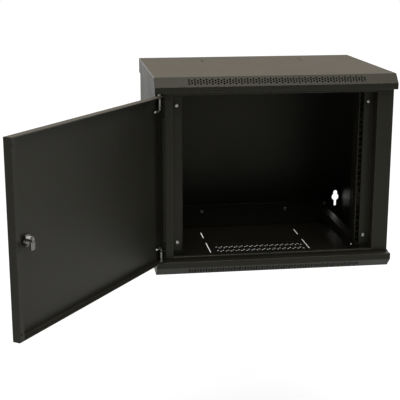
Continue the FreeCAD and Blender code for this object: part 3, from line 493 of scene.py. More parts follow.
def turned(rows, angles, centre, ways):
    """Turn rows of (reach, height) about an axis; a reach or height may differ with the angle.

    Point = centre + r (cos t A + sin t B) + h C, for the rows in order from the bottom up the
    outside, and for t from the list of angles.
    """
    reach = np.array([np.broadcast_to(row[0], angles.shape) for row in rows])
    height = np.array([np.broadcast_to(row[1], angles.shape) for row in rows])
    ring = np.outer(np.cos(angles), ways[0]) + np.outer(np.sin(angles), ways[1])
    return np.asarray(centre) + reach[..., None] * ring + height[..., None] * ways[2]


def full_turn(steps, *extra):
    """Angles right round, with some extra ones put in their order."""
    angles = np.concatenate([np.linspace(0, 2 * np.pi, steps + 1), np.mod(extra, 2 * np.pi)])
    return np.unique(np.round(angles, 9))


def box_reach(angles, half_wide, half_high):
    """Distance from the middle of a rectangle to its outline, at each angle."""
    wide = half_wide / np.maximum(np.abs(np.cos(angles)), 1e-9)
    tall = half_high / np.maximum(np.abs(np.sin(angles)), 1e-9)
    return np.minimum(wide, tall)


def plus_reach(angles, half_long, half_wide):
    """Distance from the middle of a plus sign to its outline: the further of two rectangles."""
    return np.maximum(box_reach(angles, half_long, half_wide),
                      box_reach(angles, half_wide, half_long))


def tube(path, tangents, up, radius, segments):
    """Carry a circle along a path: point = path + r (cos t S + sin t L), with S = T x up."""
    side = unit(np.cross(tangents, up))
    lift = np.cross(tangents, side)
    angle = np.linspace(0, 2 * np.pi, segments + 1)
    radius = np.broadcast_to(radius, len(path))[:, None, None]
    ring = np.cos(angle)[None, :, None] * side[:, None] + np.sin(angle)[None, :, None] * lift[:, None]
    return path[:, None] + radius * ring


# ---------------------------------------------------------------- finishes


def add_node(tree, kind, inputs=None, **settings):
    """Add a shader node, with its settings, and with each input linked or set."""
    made = tree.nodes.new(kind)
    for key, value in settings.items():
        setattr(made, key, value)
    for key, value in (inputs or {}).items():
        if isinstance(value, bpy.types.NodeSocket):
            tree.links.new(value, made.inputs[key])
        else:
            made.inputs[key].default_value = value
    return made


def noise(tree, where, scale, detail=2.0, rough=0.5):
    """Soft noise at a scale given in features per metre."""
    return add_node(tree, "ShaderNodeTexNoise", {
        "Vector": where, "Scale": scale, "Detail": detail, "Roughness": rough,
    }).outputs["Fac"]


def spread(tree, value, low_in, high_in, low_out, high_out):
    """Move a value smoothly from one range to another."""
    return add_node(tree, "ShaderNodeMapRange", {
        "Value": value, "From Min": low_in, "From Max": high_in,
        "To Min": low_out, "To Max": high_out,
    }, interpolation_type="SMOOTHSTEP").outputs["Result"]


def maths(tree, operation, first, second=0.0, clamp=False):
    """One sum of two values."""
    return add_node(tree, "ShaderNodeMath", {0: first, 1: second},
                    operation=operation, use_clamp=clamp).outputs[0]


def mixed(tree, amount, first, second):
    """A blend of two colours, each of them a socket or a red, a green and a blue."""
    ends = [tone if isinstance(tone, bpy.types.NodeSocket) else (*tone, 1.0)
            for tone in (first, second)]
    return add_node(tree, "ShaderNodeMix", {0: amount, 6: ends[0], 7: ends[1]},
                    data_type="RGBA").outputs[2]


def tinted(tone, factor):
    """A colour made lighter or darker."""
    return tuple(min(part * factor, 1.0) for part in tone)


def new_material(name):
    """Start a material and return it with its tree, its surface shader and its object place."""
    material = bpy.data.materials.new(name)
    material.use_nodes = True
    tree = material.node_tree
    where = add_node(tree, "ShaderNodeTexCoord").outputs["Object"]
    return material, tree, tree.nodes["Principled BSDF"], where


def powder_coat(name, colours):
    """Black powder coat: orange peel, fine grain, faint clouds, settled dust and rubbed edges.

    Dust settles on faces that look up: most on the cabinet's top, some on the floor inside, and
    next to none between. It dulls the gloss, and a rubbed edge is a little glossier.
    """
    material, tree, shader, where = new_material(name)
    peel = noise(tree, where, 420.0, 3.0, 0.55)
    grain = noise(tree, where, 2600.0, 1.0)
    cloud = noise(tree, where, 7.0, 5.0, 0.6)
    smear = noise(tree, where, 31.0, 3.0, 0.6)
    coat = mixed(tree, spread(tree, cloud, 0.3, 0.7, 0.0, 1.0),
                 tinted(colours.coat, 0.86), tinted(colours.coat, 1.16))
    coat = mixed(tree, spread(tree, grain, 0.35, 0.75, 0.0, 0.35), coat, tinted(colours.coat, 1.9))
    upward = add_node(tree, "ShaderNodeSeparateXYZ", {
        0: add_node(tree, "ShaderNodeNewGeometry").outputs["Normal"],
    }).outputs["Z"]
    height = add_node(tree, "ShaderNodeSeparateXYZ", {0: where}).outputs["Z"]
    floor_dust = spread(tree, height, DUST_REACH / 6, DUST_REACH / 2, FLOOR_DUST, WIPED_DUST)
    top_low, top_high = HEIGHT - 2 * DUST_REACH, HEIGHT - DUST_REACH
    top_dust = spread(tree, height, top_low, top_high, WIPED_DUST, 1.0)
    settled = maths(tree, "MULTIPLY", spread(tree, upward, 0.55, 1.0, 0.0, 1.0),
                    spread(tree, smear, 0.35, 0.75, colours.dust_least, colours.dust_most))
    settled = maths(tree, "MULTIPLY", settled, maths(tree, "MAXIMUM", floor_dust, top_dust))
    coat = mixed(tree, settled, coat, colours.dust)
    edge = add_node(tree, "ShaderNodeAttribute", attribute_name="edge").outputs["Fac"]
    patches = spread(tree, noise(tree, where, 190.0, 4.0, 0.65), 0.47, 0.66, 0.0, 1.0)
    rubbed = maths(tree, "MULTIPLY", edge, patches)
    coat = mixed(tree, maths(tree, "MULTIPLY", rubbed, 0.45), coat, colours.rubbed)
    rough = maths(tree, "ADD", spread(tree, cloud, 0.25, 0.75, -0.035, 0.035),
                  colours.coat_roughness)
    rough = maths(tree, "ADD", rough, spread(tree, grain, 0.3, 0.7, -0.03, 0.05))
    rough = maths(tree, "ADD", rough, settled)
    rough = maths(tree, "SUBTRACT", rough, maths(tree, "MULTIPLY", edge, 0.18), clamp=True)
    relief = maths(tree, "ADD", peel, maths(tree, "MULTIPLY", grain, 0.35))
    bump = add_node(tree, "ShaderNodeBump", {"Height": relief, "Strength": 0.16, "Distance": 0.0004})
    tree.links.new(coat, shader.inputs["Base Color"])
    tree.links.new(rough, shader.inputs["Roughness"])
    tree.links.new(bump.outputs["Normal"], shader.inputs["Normal"])
    shader.inputs["Specular IOR Level"].default_value = 0.35
    shader.inputs["Specular Tint"].default_value = (*colours.gloss_tint, 1.0)
    shader.inputs["Sheen Weight"].default_value = colours.film
    shader.inputs["Sheen Roughness"].default_value = 0.45
    shader.inputs["Sheen Tint"].default_value = (*colours.film_tint, 1.0)
    return material


def plated(name, tone, second, roughness, brushed):
    """Bright plating: cloudy tint, fine drawn lines and dulled spots."""
    material, tree, shader, where = new_material(name)
    shader.inputs["Metallic"].default_value = 1.0
    drawn = add_node(tree, "ShaderNodeMapping", {"Vector": where, "Scale": (1.0, 1.0, brushed)})
    lines = noise(tree, drawn.outputs["Vector"], 900.0, 3.0, 0.6)
    cloud = noise(tree, where, 260.0, 3.0, 0.6)
    spots = spread(tree, noise(tree, where, 620.0, 4.0, 0.7), 0.56, 0.70, 0.0, 1.0)
    metal = mixed(tree, spread(tree, cloud, 0.32, 0.68, 0.0, 1.0), tone, second)
    metal = mixed(tree, maths(tree, "MULTIPLY", spots, 0.35), metal, tinted(tone, 0.55))
    edge = add_node(tree, "ShaderNodeAttribute", attribute_name="edge").outputs["Fac"]
    metal = mixed(tree, maths(tree, "MULTIPLY", edge, 0.25), metal, tinted(tone, 1.25))
    rough = maths(tree, "ADD", spread(tree, lines, 0.3, 0.7, -0.06, 0.08), roughness)
    rough = maths(tree, "ADD", rough, maths(tree, "MULTIPLY", spots, 0.14), clamp=True)
    bump = add_node(tree, "ShaderNodeBump", {"Height": lines, "Strength": 0.12, "Distance": 0.0001})
    tree.links.new(metal, shader.inputs["Base Color"])
    tree.links.new(rough, shader.inputs["Roughness"])
    tree.links.new(bump.outputs["Normal"], shader.inputs["Normal"])
    return material


def finish(slot):
    """The material of a slot, made once; its name keeps it apart from the frame's plain ones."""
    name = f"cabinet_{slot}"
    found = bpy.data.materials.get(name)
    if found:
        return found
    colours = bpy.context.scene.cabinet_colours
    if slot == "black_powder_coat":
        return powder_coat(name, colours)
    if slot == "zinc_plate":
        return plated(name, colours.zinc, colours.zinc_tint, 0.28, 1.0)
    if slot == "nickel_plate":
        # The lock's nickel colour is darkened: painted shade of the dark room it reflects.
        return plated(name, colours.nickel, tinted(colours.nickel, 0.88), 0.2, 1.0)
    return plated(name, colours.steel, tinted(colours.steel, 0.8), 0.34, 0.2)


def place(piece, body, slot, *nodes):
    """Let a piece ride on its body and stand for its nodes; the slot is not used."""
    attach(piece, body)
    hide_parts(*nodes)
    return piece


# ---------------------------------------------------------------- shared places


def low(node):
    """The lowest corner of a node's box."""
    return np.array(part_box(node)[0])


def high(node):
    """The highest corner of a node's box."""
    return np.array(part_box(node)[1])


def box_of(node):
    """The lowest and the highest corner of a node's box."""
    return low(node), high(node)


def joint_named(name):
    """What the frame says of one joint."""
    return next(joint for joint in frame["joints"] if joint["name"] == name)


COVER_LOW, COVER_HIGH = box_of("top_cover")
HALF_WIDTH = COVER_HIGH[0]
BACK, FRONT = COVER_HIGH[1], COVER_LOW[1]
HEIGHT = COVER_HIGH[2]
SKIRT = HEIGHT - COVER_LOW[2]
FRAME_FRONT = low("front_post_right")[1]
INSIDE_LOW, INSIDE_HIGH = low("side_panel_right")[2], high("side_panel_right")[2]
BODY_HALF = high("side_panel_right")[0]
REAR_SKIN = low("rear_panel")[1]
POST_INNER = high("frame_rail_lower")[0]
HINGE_JOINT = joint_named("door_hinge")
HINGE = np.array(HINGE_JOINT["pos_m"])
LOCK = np.array(joint_named("lock_turn")["pos_m"])
OPENED = math.radians(HINGE_JOINT["range_deg"][1])
OUT = np.array([math.cos(OPENED), -math.sin(OPENED), 0.0])
IN = np.array([math.sin(OPENED), math.cos(OPENED), 0.0])


def door_reach(node):
    """Lowest and highest reach of a node along the open door, into it, and upwards."""
    mesh = frame["nodes"][node].data
    points = np.empty(len(mesh.vertices) * 3)
    mesh.vertices.foreach_get("co", points)
    points = points.reshape(-1, 3) - HINGE * [1.0, 1.0, 0.0]
    local = np.stack([points @ OUT, points @ IN, points[:, 2]], axis=-1)
    return local.min(0), local.max(0)


def on_door(along_door, into_door, height):
    """The place of a point given in the door's own directions."""
    return HINGE * [1.0, 1.0, 0.0] + OUT * along_door + IN * into_door + Z * height


def from_top(side):
    """Origin and height way of a cover: up from the floor, or down from the top."""
    return (np.zeros(3), Z) if side < 0 else (Z * HEIGHT, -Z)


# ---------------------------------------------------------------- pieces


def cover_holes(line, sizes, side):
    """Flat-pattern outlines of a cover's vents and knock-out slits."""
    slope = math.hypot(sizes.slope_run, sizes.slope_drop)
    middle = along(line, 2, slope / 2)
    first = sizes.vent_pitch * (0.5 - VENT_PAIRS)
    threes = first + 2 * sizes.vent_pitch * np.arange(VENT_PAIRS)
    centres = np.vstack([
        lattice(threes, middle + sizes.vent_row * np.array([-1.0, 0.0, 1.0])),
        lattice(threes + sizes.vent_pitch, middle + sizes.vent_row * np.array([-0.5, 0.5])),
    ])
    holes = rounds(centres, sizes.vent_radius)
    slits = [sizes.rear_slit] + ([sizes.floor_slit] if side < 0 else [])
    for start, stop in slits:
        length = stop - start
        centre = along(line, 1, start + length / 2)
        ends = lattice([-sizes.knockout_x, sizes.knockout_x], [centre])
        holes += boxes(ends, sizes.slit, length)
    if side < 0:
        count = int(sizes.floor_vent_half / sizes.floor_vent_pitch)
        across = sizes.floor_vent_pitch * (np.arange(2 * count + 1) - count)
        shift = np.array([sizes.floor_vent_pitch / 2, 0.0])
        row = sizes.floor_vent_row / 2
        for y, part in FLOOR_VENT_BANDS:
            near = along(line, 1, BACK - y)
            hole = part * sizes.floor_vent_radius
            holes += rounds(lattice(across, [near - row]), hole, 12)
            holes += rounds(lattice(across, [near + row]) + shift, hole, 12)
    hinge = along(line, 4, HINGE[1] - FRONT)
    holes += rounds([(HINGE[0], hinge)], PIN_HOLE, 24)
    return holes


def cover(name, node, side, sizes, material):
    """One cover: a folded sheet with rounded side edges and a plate closing each side."""
    sheet = sizes.cover_sheet
    ledge = sizes.slope_drop + sizes.fascia
    line = bent_line([
        (BACK, SKIRT), (BACK, 0.0), (FRONT + sizes.slope_run, 0.0), (FRONT, sizes.slope_drop),
        (FRONT, ledge), (FRAME_FRONT, ledge),
    ], sheet, sizes.bend_inside, 1)
    origin, rise = from_top(side)
    flat_half = HALF_WIDTH - sizes.rim_radius
    outline = rectangle(-flat_half, 0.0, flat_half, line[2][-1])
    patches = [folded(line, outline, cover_holes(line, sizes, side), origin, (X, Y, rise))]
    points = np.outer(line[0][:, 0], Y) + np.outer(line[0][:, 1], rise)
    normals = np.outer(line[1][:, 0], Y) + np.outer(line[1][:, 1], rise)
    angle = np.linspace(0, np.pi / 2, BEND_STEPS + 1)[:, None, None]
    radius = sizes.rim_radius
    rim = line[0] - line[1] * radius
    plate = np.vstack([rim, [(FRAME_FRONT, SKIRT)]])
    for hand in (-1, 1):
        grid = origin + points - normals * radius * (1 - np.cos(angle))
        grid = grid + X * hand * (flat_half + radius * np.sin(angle))
        facing = normals * np.cos(angle) + X * hand * np.sin(angle)
        cells = grid_triangles(BEND_STEPS + 1, len(points))
        strip = facing_out(grid.reshape(-1, 3), facing.reshape(-1, 3), cells)
        patches.append((strip, np.ones(len(cells), bool)))
        flat, triangles = flat_pattern(plate, np.zeros(0), [])
        where = origin + X * hand * HALF_WIDTH + np.outer(flat[:, 0], Y) + np.outer(flat[:, 1], rise)
        outward = np.broadcast_to(X * hand, where.shape)
        patches.append((facing_out(where, outward, triangles), np.zeros(len(triangles), bool)))
    piece = sheet_piece(name, patches, sheet, material)
    return place(piece, "cabinet", "black_powder_coat", node)


class CABINET_OT_covers(bpy.types.Operator):
    """Fold the top and bottom covers, with their vents, slits and rounded rims"""

    bl_idname = "cabinet.covers"
    bl_label = "Covers"

    def execute(self, context):
        sizes = context.scene.cabinet_sizes
        coat = finish("black_powder_coat")
        cover("top_cover_sheet", "top_cover", 1, sizes, coat)
        cover("bottom_cover_sheet", "bottom_cover", -1, sizes, coat)
        return {"FINISHED"}


def straight_sheet(node, line, outline, holes, origin, ways, sheet):
    """One folded sheet that rides on the cabinet and stands for its node."""
    patch = folded(line, outline, holes, origin, ways)
    piece = sheet_piece(f"{node}_sheet", [patch], sheet, finish("black_powder_coat"))
    return place(piece, "cabinet", "black_powder_coat", node)


def post(hand, sizes):
    """One front post: outer leg, face, return wall and the flange that carries the screws."""
    node = f"front_post_{SIDES[hand]}"
    box_low, box_high = box_of("front_post_right")
    flange = box_high[1] - sizes.frame_sheet
    leg = low("side_panel_right")[1]
    line = bent_line([
        (BODY_HALF, leg), (BODY_HALF, FRAME_FRONT), (POST_INNER, FRAME_FRONT),
        (POST_INNER, flange), (box_low[0], flange),
    ], sizes.frame_sheet, sizes.bend_inside, 1)
    holes = []
    if hand > 0:
        cam_low, cam_high = low("lock_cam")[2], high("lock_cam")[2]
        reach = door_reach("lock_cam")[1][1] + HINGE[1] + CAM_ROOM - FRAME_FRONT
        start = along(line, 2, sizes.frame_sheet + sizes.bend_inside)
        end = along(line, 2, reach)
        holes = [rectangle(cam_low - CAM_ROOM, start, cam_high + CAM_ROOM, end)]
    outline = rectangle(INSIDE_LOW, 0.0, INSIDE_HIGH, line[2][-1])
    ways = (Z, X * hand, Y)
    return straight_sheet(node, line, outline, holes, np.zeros(3), ways, sizes.frame_sheet)


def frame_rail(side, sizes):
    """One front cross rail: a shallow channel between the posts."""
    node = f"frame_rail_{ENDS[side]}"
    box_low, box_high = box_of("frame_rail_lower")
    line = bent_line([
        (box_high[1], box_low[2]), (FRAME_FRONT, box_low[2]),
        (FRAME_FRONT, box_high[2]), (box_high[1], box_high[2]),
    ], sizes.frame_sheet, sizes.bend_inside, 1)
    origin, rise = from_top(side)
    outline = rectangle(-POST_INNER, 0.0, POST_INNER, line[2][-1])
    return straight_sheet(node, line, outline, [], origin, (X, Y, rise), sizes.frame_sheet)


def side_panel(hand, sizes):
    """One side panel with its front and rear flanges."""
    node = f"side_panel_{SIDES[hand]}"
    box_low, box_high = box_of("side_panel_right")
    line = bent_line([
        (box_low[0], box_low[1]), (box_high[0], box_low[1]),
        (box_high[0], box_high[1]), (box_low[0], box_high[1]),
    ], sizes.cover_sheet, sizes.bend_inside, -1)
    outline = rectangle(INSIDE_LOW, 0.0, INSIDE_HIGH, line[2][-1])
    ways = (Z, X * hand, Y)
    return straight_sheet(node, line, outline, [], np.zeros(3), ways, sizes.cover_sheet)


def keyhole(x, height, sizes):
    """Outline of one keyhole: a round hole with a wide stem above it and a narrow one below."""
    radius, up, down = sizes.keyhole_radius, sizes.keyhole_up, sizes.keyhole_down
    upper = math.asin(up / radius)
    lower = math.asin(down / radius)
    quarter = np.pi / 2
    rise = height + sizes.keyhole_rise - up
    fall = height - sizes.keyhole_fall + down
    return np.vstack([
        arc((x, height), radius, lower - quarter, quarter - upper, 12),
        arc((x, rise), up, 0.0, np.pi, 9),
        arc((x, height), radius, quarter + upper, 3 * quarter - lower, 12),
        arc((x, fall), down, np.pi, 2 * np.pi, 9),
    ])


def rear_panel(sizes):
    """The rear panel with its four keyholes."""
    x = BODY_HALF - sizes.keyhole_inset
    heights = (sizes.keyhole_height, HEIGHT - sizes.keyhole_height)
    holes = [keyhole(hand * x, height, sizes) for hand in (-1, 1) for height in heights]
    line = bent_line([(0.0, INSIDE_LOW), (0.0, INSIDE_HIGH)], sizes.cover_sheet, 0.0, 1)
    shift = np.array([0.0, INSIDE_LOW])
    outline = rectangle(-BODY_HALF, INSIDE_LOW, BODY_HALF, INSIDE_HIGH) - shift
    holes = [hole - shift for hole in holes]
    origin = Y * REAR_SKIN
    return straight_sheet("rear_panel", line, outline, holes, origin, (X, Y, Z), sizes.cover_sheet)


def rear_rail(side, sizes):
    """One rear cross rail: a hat-shaped stiffener in front of the rear panel."""
    node = f"rear_rail_{ENDS[side]}"
    box_low, box_high = box_of("rear_rail_lower")
    back = box_high[1]
    step = box_high[2] - sizes.rear_rail_flange
    line = bent_line([
        (back, box_low[2]), (box_low[1], box_low[2]), (box_low[1], step),
        (back - sizes.frame_sheet, step), (back - sizes.frame_sheet, box_high[2]),
    ], sizes.frame_sheet, sizes.bend_inside, 1)
    origin, rise = from_top(side)
    outline = rectangle(box_low[0], 0.0, box_high[0], line[2][-1])
    return straight_sheet(node, line, outline, [], origin, (X, Y, rise), sizes.frame_sheet)


def slots(centres, width, length, steps=5):
    """One round-ended slot round each centre, its length upwards, all at once."""
    radius = width / 2
    straight = (length - width) / 2
    ring = np.vstack([
        arc((0.0, straight), radius, 0.0, np.pi, steps),
        arc((0.0, -straight), radius, np.pi, 2 * np.pi, steps),
    ])
    return list(np.asarray(centres, float)[:, None] + ring)


def upright(hand, sizes):
    """One nineteen-inch upright: slotted web, flange of square holes, and outer leg."""
    node = f"rack_rail_{SIDES[hand]}"
    box_low, box_high = box_of("rack_rail_right")
    line = bent_line([
        (box_low[0], box_high[1]), (box_low[0], box_low[1]),
        (box_high[0], box_low[1]), (box_high[0], box_low[1] + sizes.rack_leg),
    ], sizes.frame_sheet, sizes.bend_inside, -1)
    base = high("depth_rail_right_lower")[2] - sizes.front_tab_rise
    units = int((HEIGHT - 2 * base) / sizes.rack_unit + 0.01)
    rises = np.array([sizes.rack_hole_offset, sizes.rack_unit / 2,
                      sizes.rack_unit - sizes.rack_hole_offset])
    heights = (base + sizes.rack_unit * np.arange(units)[:, None] + rises).ravel()
    holes = boxes(lattice(heights, [along(line, 1, sizes.rack_hole_inset)]),
                  sizes.rack_hole, sizes.rack_hole)
    count = int((HEIGHT - 2 * base) / sizes.slot_pitch)
    places = HEIGHT / 2 + sizes.slot_pitch * (np.arange(count) - (count - 1) / 2)
    middle = sizes.slot_margin + sizes.slot_length / 2
    holes += slots(lattice(places, [middle]), sizes.slot_width, sizes.slot_length)
    web_end = line[2][1]
    end = line[2][-1]
    outline = [
        (box_low[2], 0.0), (box_high[2], 0.0), (box_high[2], web_end), (HEIGHT - base, web_end),
        (HEIGHT - base, end), (base, end), (base, web_end), (box_low[2], web_end),
    ]
    ways = (Z, X * hand, Y)
    return straight_sheet(node, line, outline, holes, np.zeros(3), ways, sizes.frame_sheet)


def depth_rail(hand, side, sizes):
    """One depth rail: web, flange, and a tab bent up at each end."""
    node = f"depth_rail_{SIDES[hand]}_{ENDS[side]}"
    sheet = sizes.frame_sheet
    box_low, box_high = box_of("depth_rail_right_lower")
    level = box_high[2] - sizes.front_tab_rise
    front, back = box_low[1], box_high[1]
    inner, outer = box_low[0], box_high[0]
    origin, rise = from_top(side)
    line = bent_line([(inner, box_low[2]), (inner, level), (outer, level)],
                     sheet, sizes.bend_inside, 1)
    cut = along(line, 1, outer - sizes.tab_width - inner)
    end = line[2][-1]
    outline = [
        (front, 0.0), (back, 0.0), (back, cut), (back - TAB_ROOT, cut), (back - TAB_ROOT, end),
        (front + TAB_ROOT, end), (front + TAB_ROOT, cut), (front, cut),
    ]
    patches = [folded(line, outline, [], origin, (Y, X * hand, rise))]
    for tip, way, height in ((front, 1, sizes.front_tab_rise), (back, -1, sizes.rear_tab_rise)):
        tab = bent_line([
            (tip + way * TAB_ROOT, level), (tip + way * sheet, level),
            (tip + way * sheet, level + height),
        ], sheet, sizes.bend_inside, -way)
        strip = rectangle(outer - sizes.tab_width, 0.0, outer, tab[2][-1])
        patches.append(folded(tab, strip, [], origin, (X * hand, Y, rise)))
    piece = sheet_piece(f"{node}_sheet", patches, sheet, finish("black_powder_coat"))
    return place(piece, "cabinet", "black_powder_coat", node)


class CABINET_OT_frame(bpy.types.Operator):
    """Fold the posts and the cross rails round the opening"""

    bl_idname = "cabinet.frame"
    bl_label = "Front frame"

    def execute(self, context):
        sizes = context.scene.cabinet_sizes
        for way in (-1, 1):
            post(way, sizes)
            frame_rail(way, sizes)
        return {"FINISHED"}


class CABINET_OT_shell(bpy.types.Operator):
    """Fold the side panels, the rear panel and the rear cross rails"""

    bl_idname = "cabinet.shell"
    bl_label = "Shell"

    def execute(self, context):
        sizes = context.scene.cabinet_sizes
        for way in (-1, 1):
            side_panel(way, sizes)
            rear_rail(way, sizes)
        rear_panel(sizes)
        return {"FINISHED"}


class CABINET_OT_rack(bpy.types.Operator):
    """Fold the nineteen-inch uprights and the depth rails that carry them"""

    bl_idname = "cabinet.rack"
    bl_label = "Rack"

    def execute(self, context):
        sizes = context.scene.cabinet_sizes
        for hand in (-1, 1):
            upright(hand, sizes)
            for side in (-1, 1):
                depth_rail(hand, side, sizes)
        return {"FINISHED"}


def door_edge(span, start, end, sizes, holes, origin, ways):
    """One edge of the door: a flange between two bends, mitred at both ends.

    The ways are along the edge, inwards from it across the door, and through the door.
    """
    depth = end - start
    radius = sizes.cover_sheet + sizes.bend_inside
    line = bent_line([(radius, 0.0), (0.0, 0.0), (0.0, depth), (radius, depth)],
                     sizes.cover_sheet, sizes.bend_inside, 1)
    _, keep = np.unique(np.round(line[2], 9), return_index=True)
    line = (line[0][keep], line[1][keep], line[2][keep], line[3])
    inset = line[0][:, 0]
    outline = np.vstack([
        np.column_stack([inset, line[2]]),
        np.column_stack([span - inset, line[2]])[::-1],
    ])
    flat = np.array([(u, radius * np.pi / 2 + n - start - radius) for u, n in holes])
    cut = rounds(flat.reshape(-1, 2), PIN_HOLE, 24) if len(holes) else []
    return folded(line, outline, cut, origin, ways)


def door(sizes):
    """The door: a flat pan with four flanges, and a lip along its free and its hinge edge."""
    sheet = sizes.cover_sheet
    radius = sheet + sizes.bend_inside
    least, most = door_reach("door_panel")
    width, height = most[0] - least[0], most[2] - least[2]
    lock_low, lock_high = door_reach("lock_cam")
    across = (lock_low[0] + lock_high[0]) / 2 - least[0]
    lock_height = LOCK[2] - least[2]
    corner = on_door(least[0], least[1], least[2])
    line = bent_line([(0.0, radius), (0.0, height - radius)], sheet, 0.0, 1)
    panel = rectangle(radius, 0.0, width - radius, height - 2 * radius)
    barrel = rounds([(across, lock_height - radius)], sizes.lock_hole, 32)
    patches = [folded(line, panel, barrel, corner, (OUT, IN, Z))]
    lip = sizes.door_lip
    notch_low = lock_height - sizes.notch_height / 2
    notch_high = lock_height + sizes.notch_height / 2
    notch = width - sheet - NOTCH_WALL
    hem = radius + OPEN_HEM
    drop = sizes.pin_room
    window = np.array([
        (lip, height - drop), (lip, drop), (hem, drop), (hem, hem), (width - lip, hem),
        (width - lip, notch_low), (notch, notch_low), (notch, notch_high),
        (width - lip, notch_high), (width - lip, height - hem), (hem, height - hem),
        (hem, height - drop),
    ])
    bend = width - radius - sizes.corner_relief
    rise = sizes.relief_height
    reliefs = rounds([(bend, rise - radius), (bend, height - rise - radius)],
                     sizes.corner_relief, 16)
    face = bent_line([(most[1] - least[1], radius), (most[1] - least[1], height - radius)],
                     sheet, 0.0, -1)
    outline = rectangle(radius, 0.0, width - radius, height - 2 * radius)
    openings = [window - [0.0, radius], *reliefs]
    patches.append(folded(face, outline, openings, corner, (OUT, IN, Z)))
    pin = [(-least[0], 0.0)]
    up = Z * height
    side = OUT * width
    span = (least[1], most[1])
    patches += [
        door_edge(width, *span, sizes, pin, corner, (OUT, Z, IN)),
        door_edge(width, *span, sizes, pin, corner + up, (OUT, -Z, IN)),
        door_edge(height, *span, sizes, [], corner, (Z, OUT, IN)),
        door_edge(height, *span, sizes, [], corner + side, (Z, -OUT, IN)),
    ]
    piece = sheet_piece("door_sheet", patches, sheet, finish("black_powder_coat"))
    return place(piece, "door", "black_powder_coat", "door_panel")


class CABINET_OT_door(bpy.types.Operator):
    """Fold the door"""

    bl_idname = "cabinet.door"
    bl_label = "Door"

    def execute(self, context):
        door(context.scene.cabinet_sizes)
        return {"FINISHED"}


def pan_head(centre, axis, side, radius, height, sizes):
    """One pan-head screw: a domed head with a tapered cross recess.

    The dome's reach and height are r = R (1 + cos t) / 2 and h = H (d + (1 - d) sin t), where d is
    the share at the dome's rim, for t from nought to a right angle.
    """
    arm, half = sizes.recess_length, sizes.recess_width
    corner = math.atan2(half, arm)
    turns = np.arange(4) * np.pi / 2
    angles = full_turn(24, *(turns + corner), *(turns - corner), *(turns + np.pi / 4))
    cross = plus_reach(angles, arm, half)
    swing = np.linspace(0, np.pi / 2, 6)
    lift = height * (DOME_RIM + (1 - DOME_RIM) * np.sin(swing))
    dome = list(zip(radius * (1 + np.cos(swing)) / 2, lift))
    deep = height - sizes.recess_depth
    rows = [
        (0, 0), (radius, 0), *dome, (cross, height), (cross * RECESS_FOOT, deep),
        (0, deep * RECESS_POINT),
    ]
    return turned(rows, angles, centre, about(axis, side))


def screws(node, axis_of, seat_axis, sizes):
    """Four pan-head screws at the corners of their node's box."""
    box_low, box_high = box_of(node)
    upright_low, upright_high = box_of("upright_screws")
    radius = (upright_high[1] - upright_low[1]) / 2
    frame_low, frame_high = box_of("frame_screws")
    height = frame_high[1] - frame_low[1]
    grids = []
    for index, (hand, end) in enumerate([(-1, 0), (1, 0), (1, 1), (-1, 1)]):
        level = box_low[2] + radius if end == 0 else box_high[2] - radius
        if seat_axis == "front":
            centre = np.array([hand * (box_high[0] - radius), box_high[1], level])
        else:
            centre = np.array([hand * box_high[0], (box_low[1] + box_high[1]) / 2, level])
        axis = axis_of * (hand if seat_axis == "side" else 1)
        turn = SCREW_TURN * index + FIRST_TURN
        side = np.cross(axis, Z) * math.cos(turn) + Z * math.sin(turn)
        grids.append(pan_head(centre, axis, side, radius, height, sizes))
    piece = solid_piece(f"{node}_heads", grids, finish("zinc_plate"))
    return place(piece, "cabinet", "zinc_plate", node)


class CABINET_OT_screws(bpy.types.Operator):
    """Turn the pan-head screws with their cross recesses"""

    bl_idname = "cabinet.screws"
    bl_label = "Screws"

    def execute(self, context):
        sizes = context.scene.cabinet_sizes
        screws("frame_screws", -Y, "front", sizes)
        screws("depth_rail_screws", -Y, "front", sizes)
        screws("rear_rail_screws", -Y, "front", sizes)
        screws("upright_screws", -X, "side", sizes)
        return {"FINISHED"}


def turned_lock_piece(node, body, rows, angles):
    """Turn rows of (reach, way into the door) about the lock's axis, and place what they make."""
    centre = LOCK - IN * np.dot(LOCK - HINGE, IN)
    grid = turned(rows, angles, centre, about(IN, OUT))
    piece = solid_piece(f"{node}_turned", [grid], finish("nickel_plate"))
    return place(piece, body, "nickel_plate", node)


def lock_barrel(sizes):
    """The lock's barrel: bevelled head outside the door, threaded tube, and bore.

    The thread's reach is R - d |2 frac(h / p - t / 2 pi) - 1|, which is a helix of triangles.
    """
    least, most = door_reach("lock_barrel")
    plug_least, plug_most = door_reach("lock_plug")
    bore = (plug_most[0] - plug_least[0]) / 2 + LOCK_PLAY
    head = (most[0] - least[0]) / 2
    radius = sizes.lock_hole - LOCK_PLAY
    start, face, end = least[1], least[1] + LOCK_HEAD, most[1] - sizes.lock_stub
    angles = full_turn(48)
    levels = np.arange(face + THREAD_START, end - CHAMFER, sizes.thread_pitch / 4)
    turns = levels[:, None] / sizes.thread_pitch - angles / (2 * np.pi)
    ridge = radius - sizes.thread_depth * np.abs(2 * np.mod(turns, 1.0) - 1)
    rows = [
        (bore, start), (head - HEAD_BEVEL, start), (head - BROKEN_EDGE, start + BROKEN_EDGE),
        (head, start + HEAD_BEVEL), (head, face), (radius, face),
        *zip(ridge, levels), (radius - CHAMFER, end), (bore + CHAMFER / 2, end),
        (bore, end - CHAMFER / 2), (bore, start),
    ]
    return turned_lock_piece("lock_barrel", "door", rows, angles)


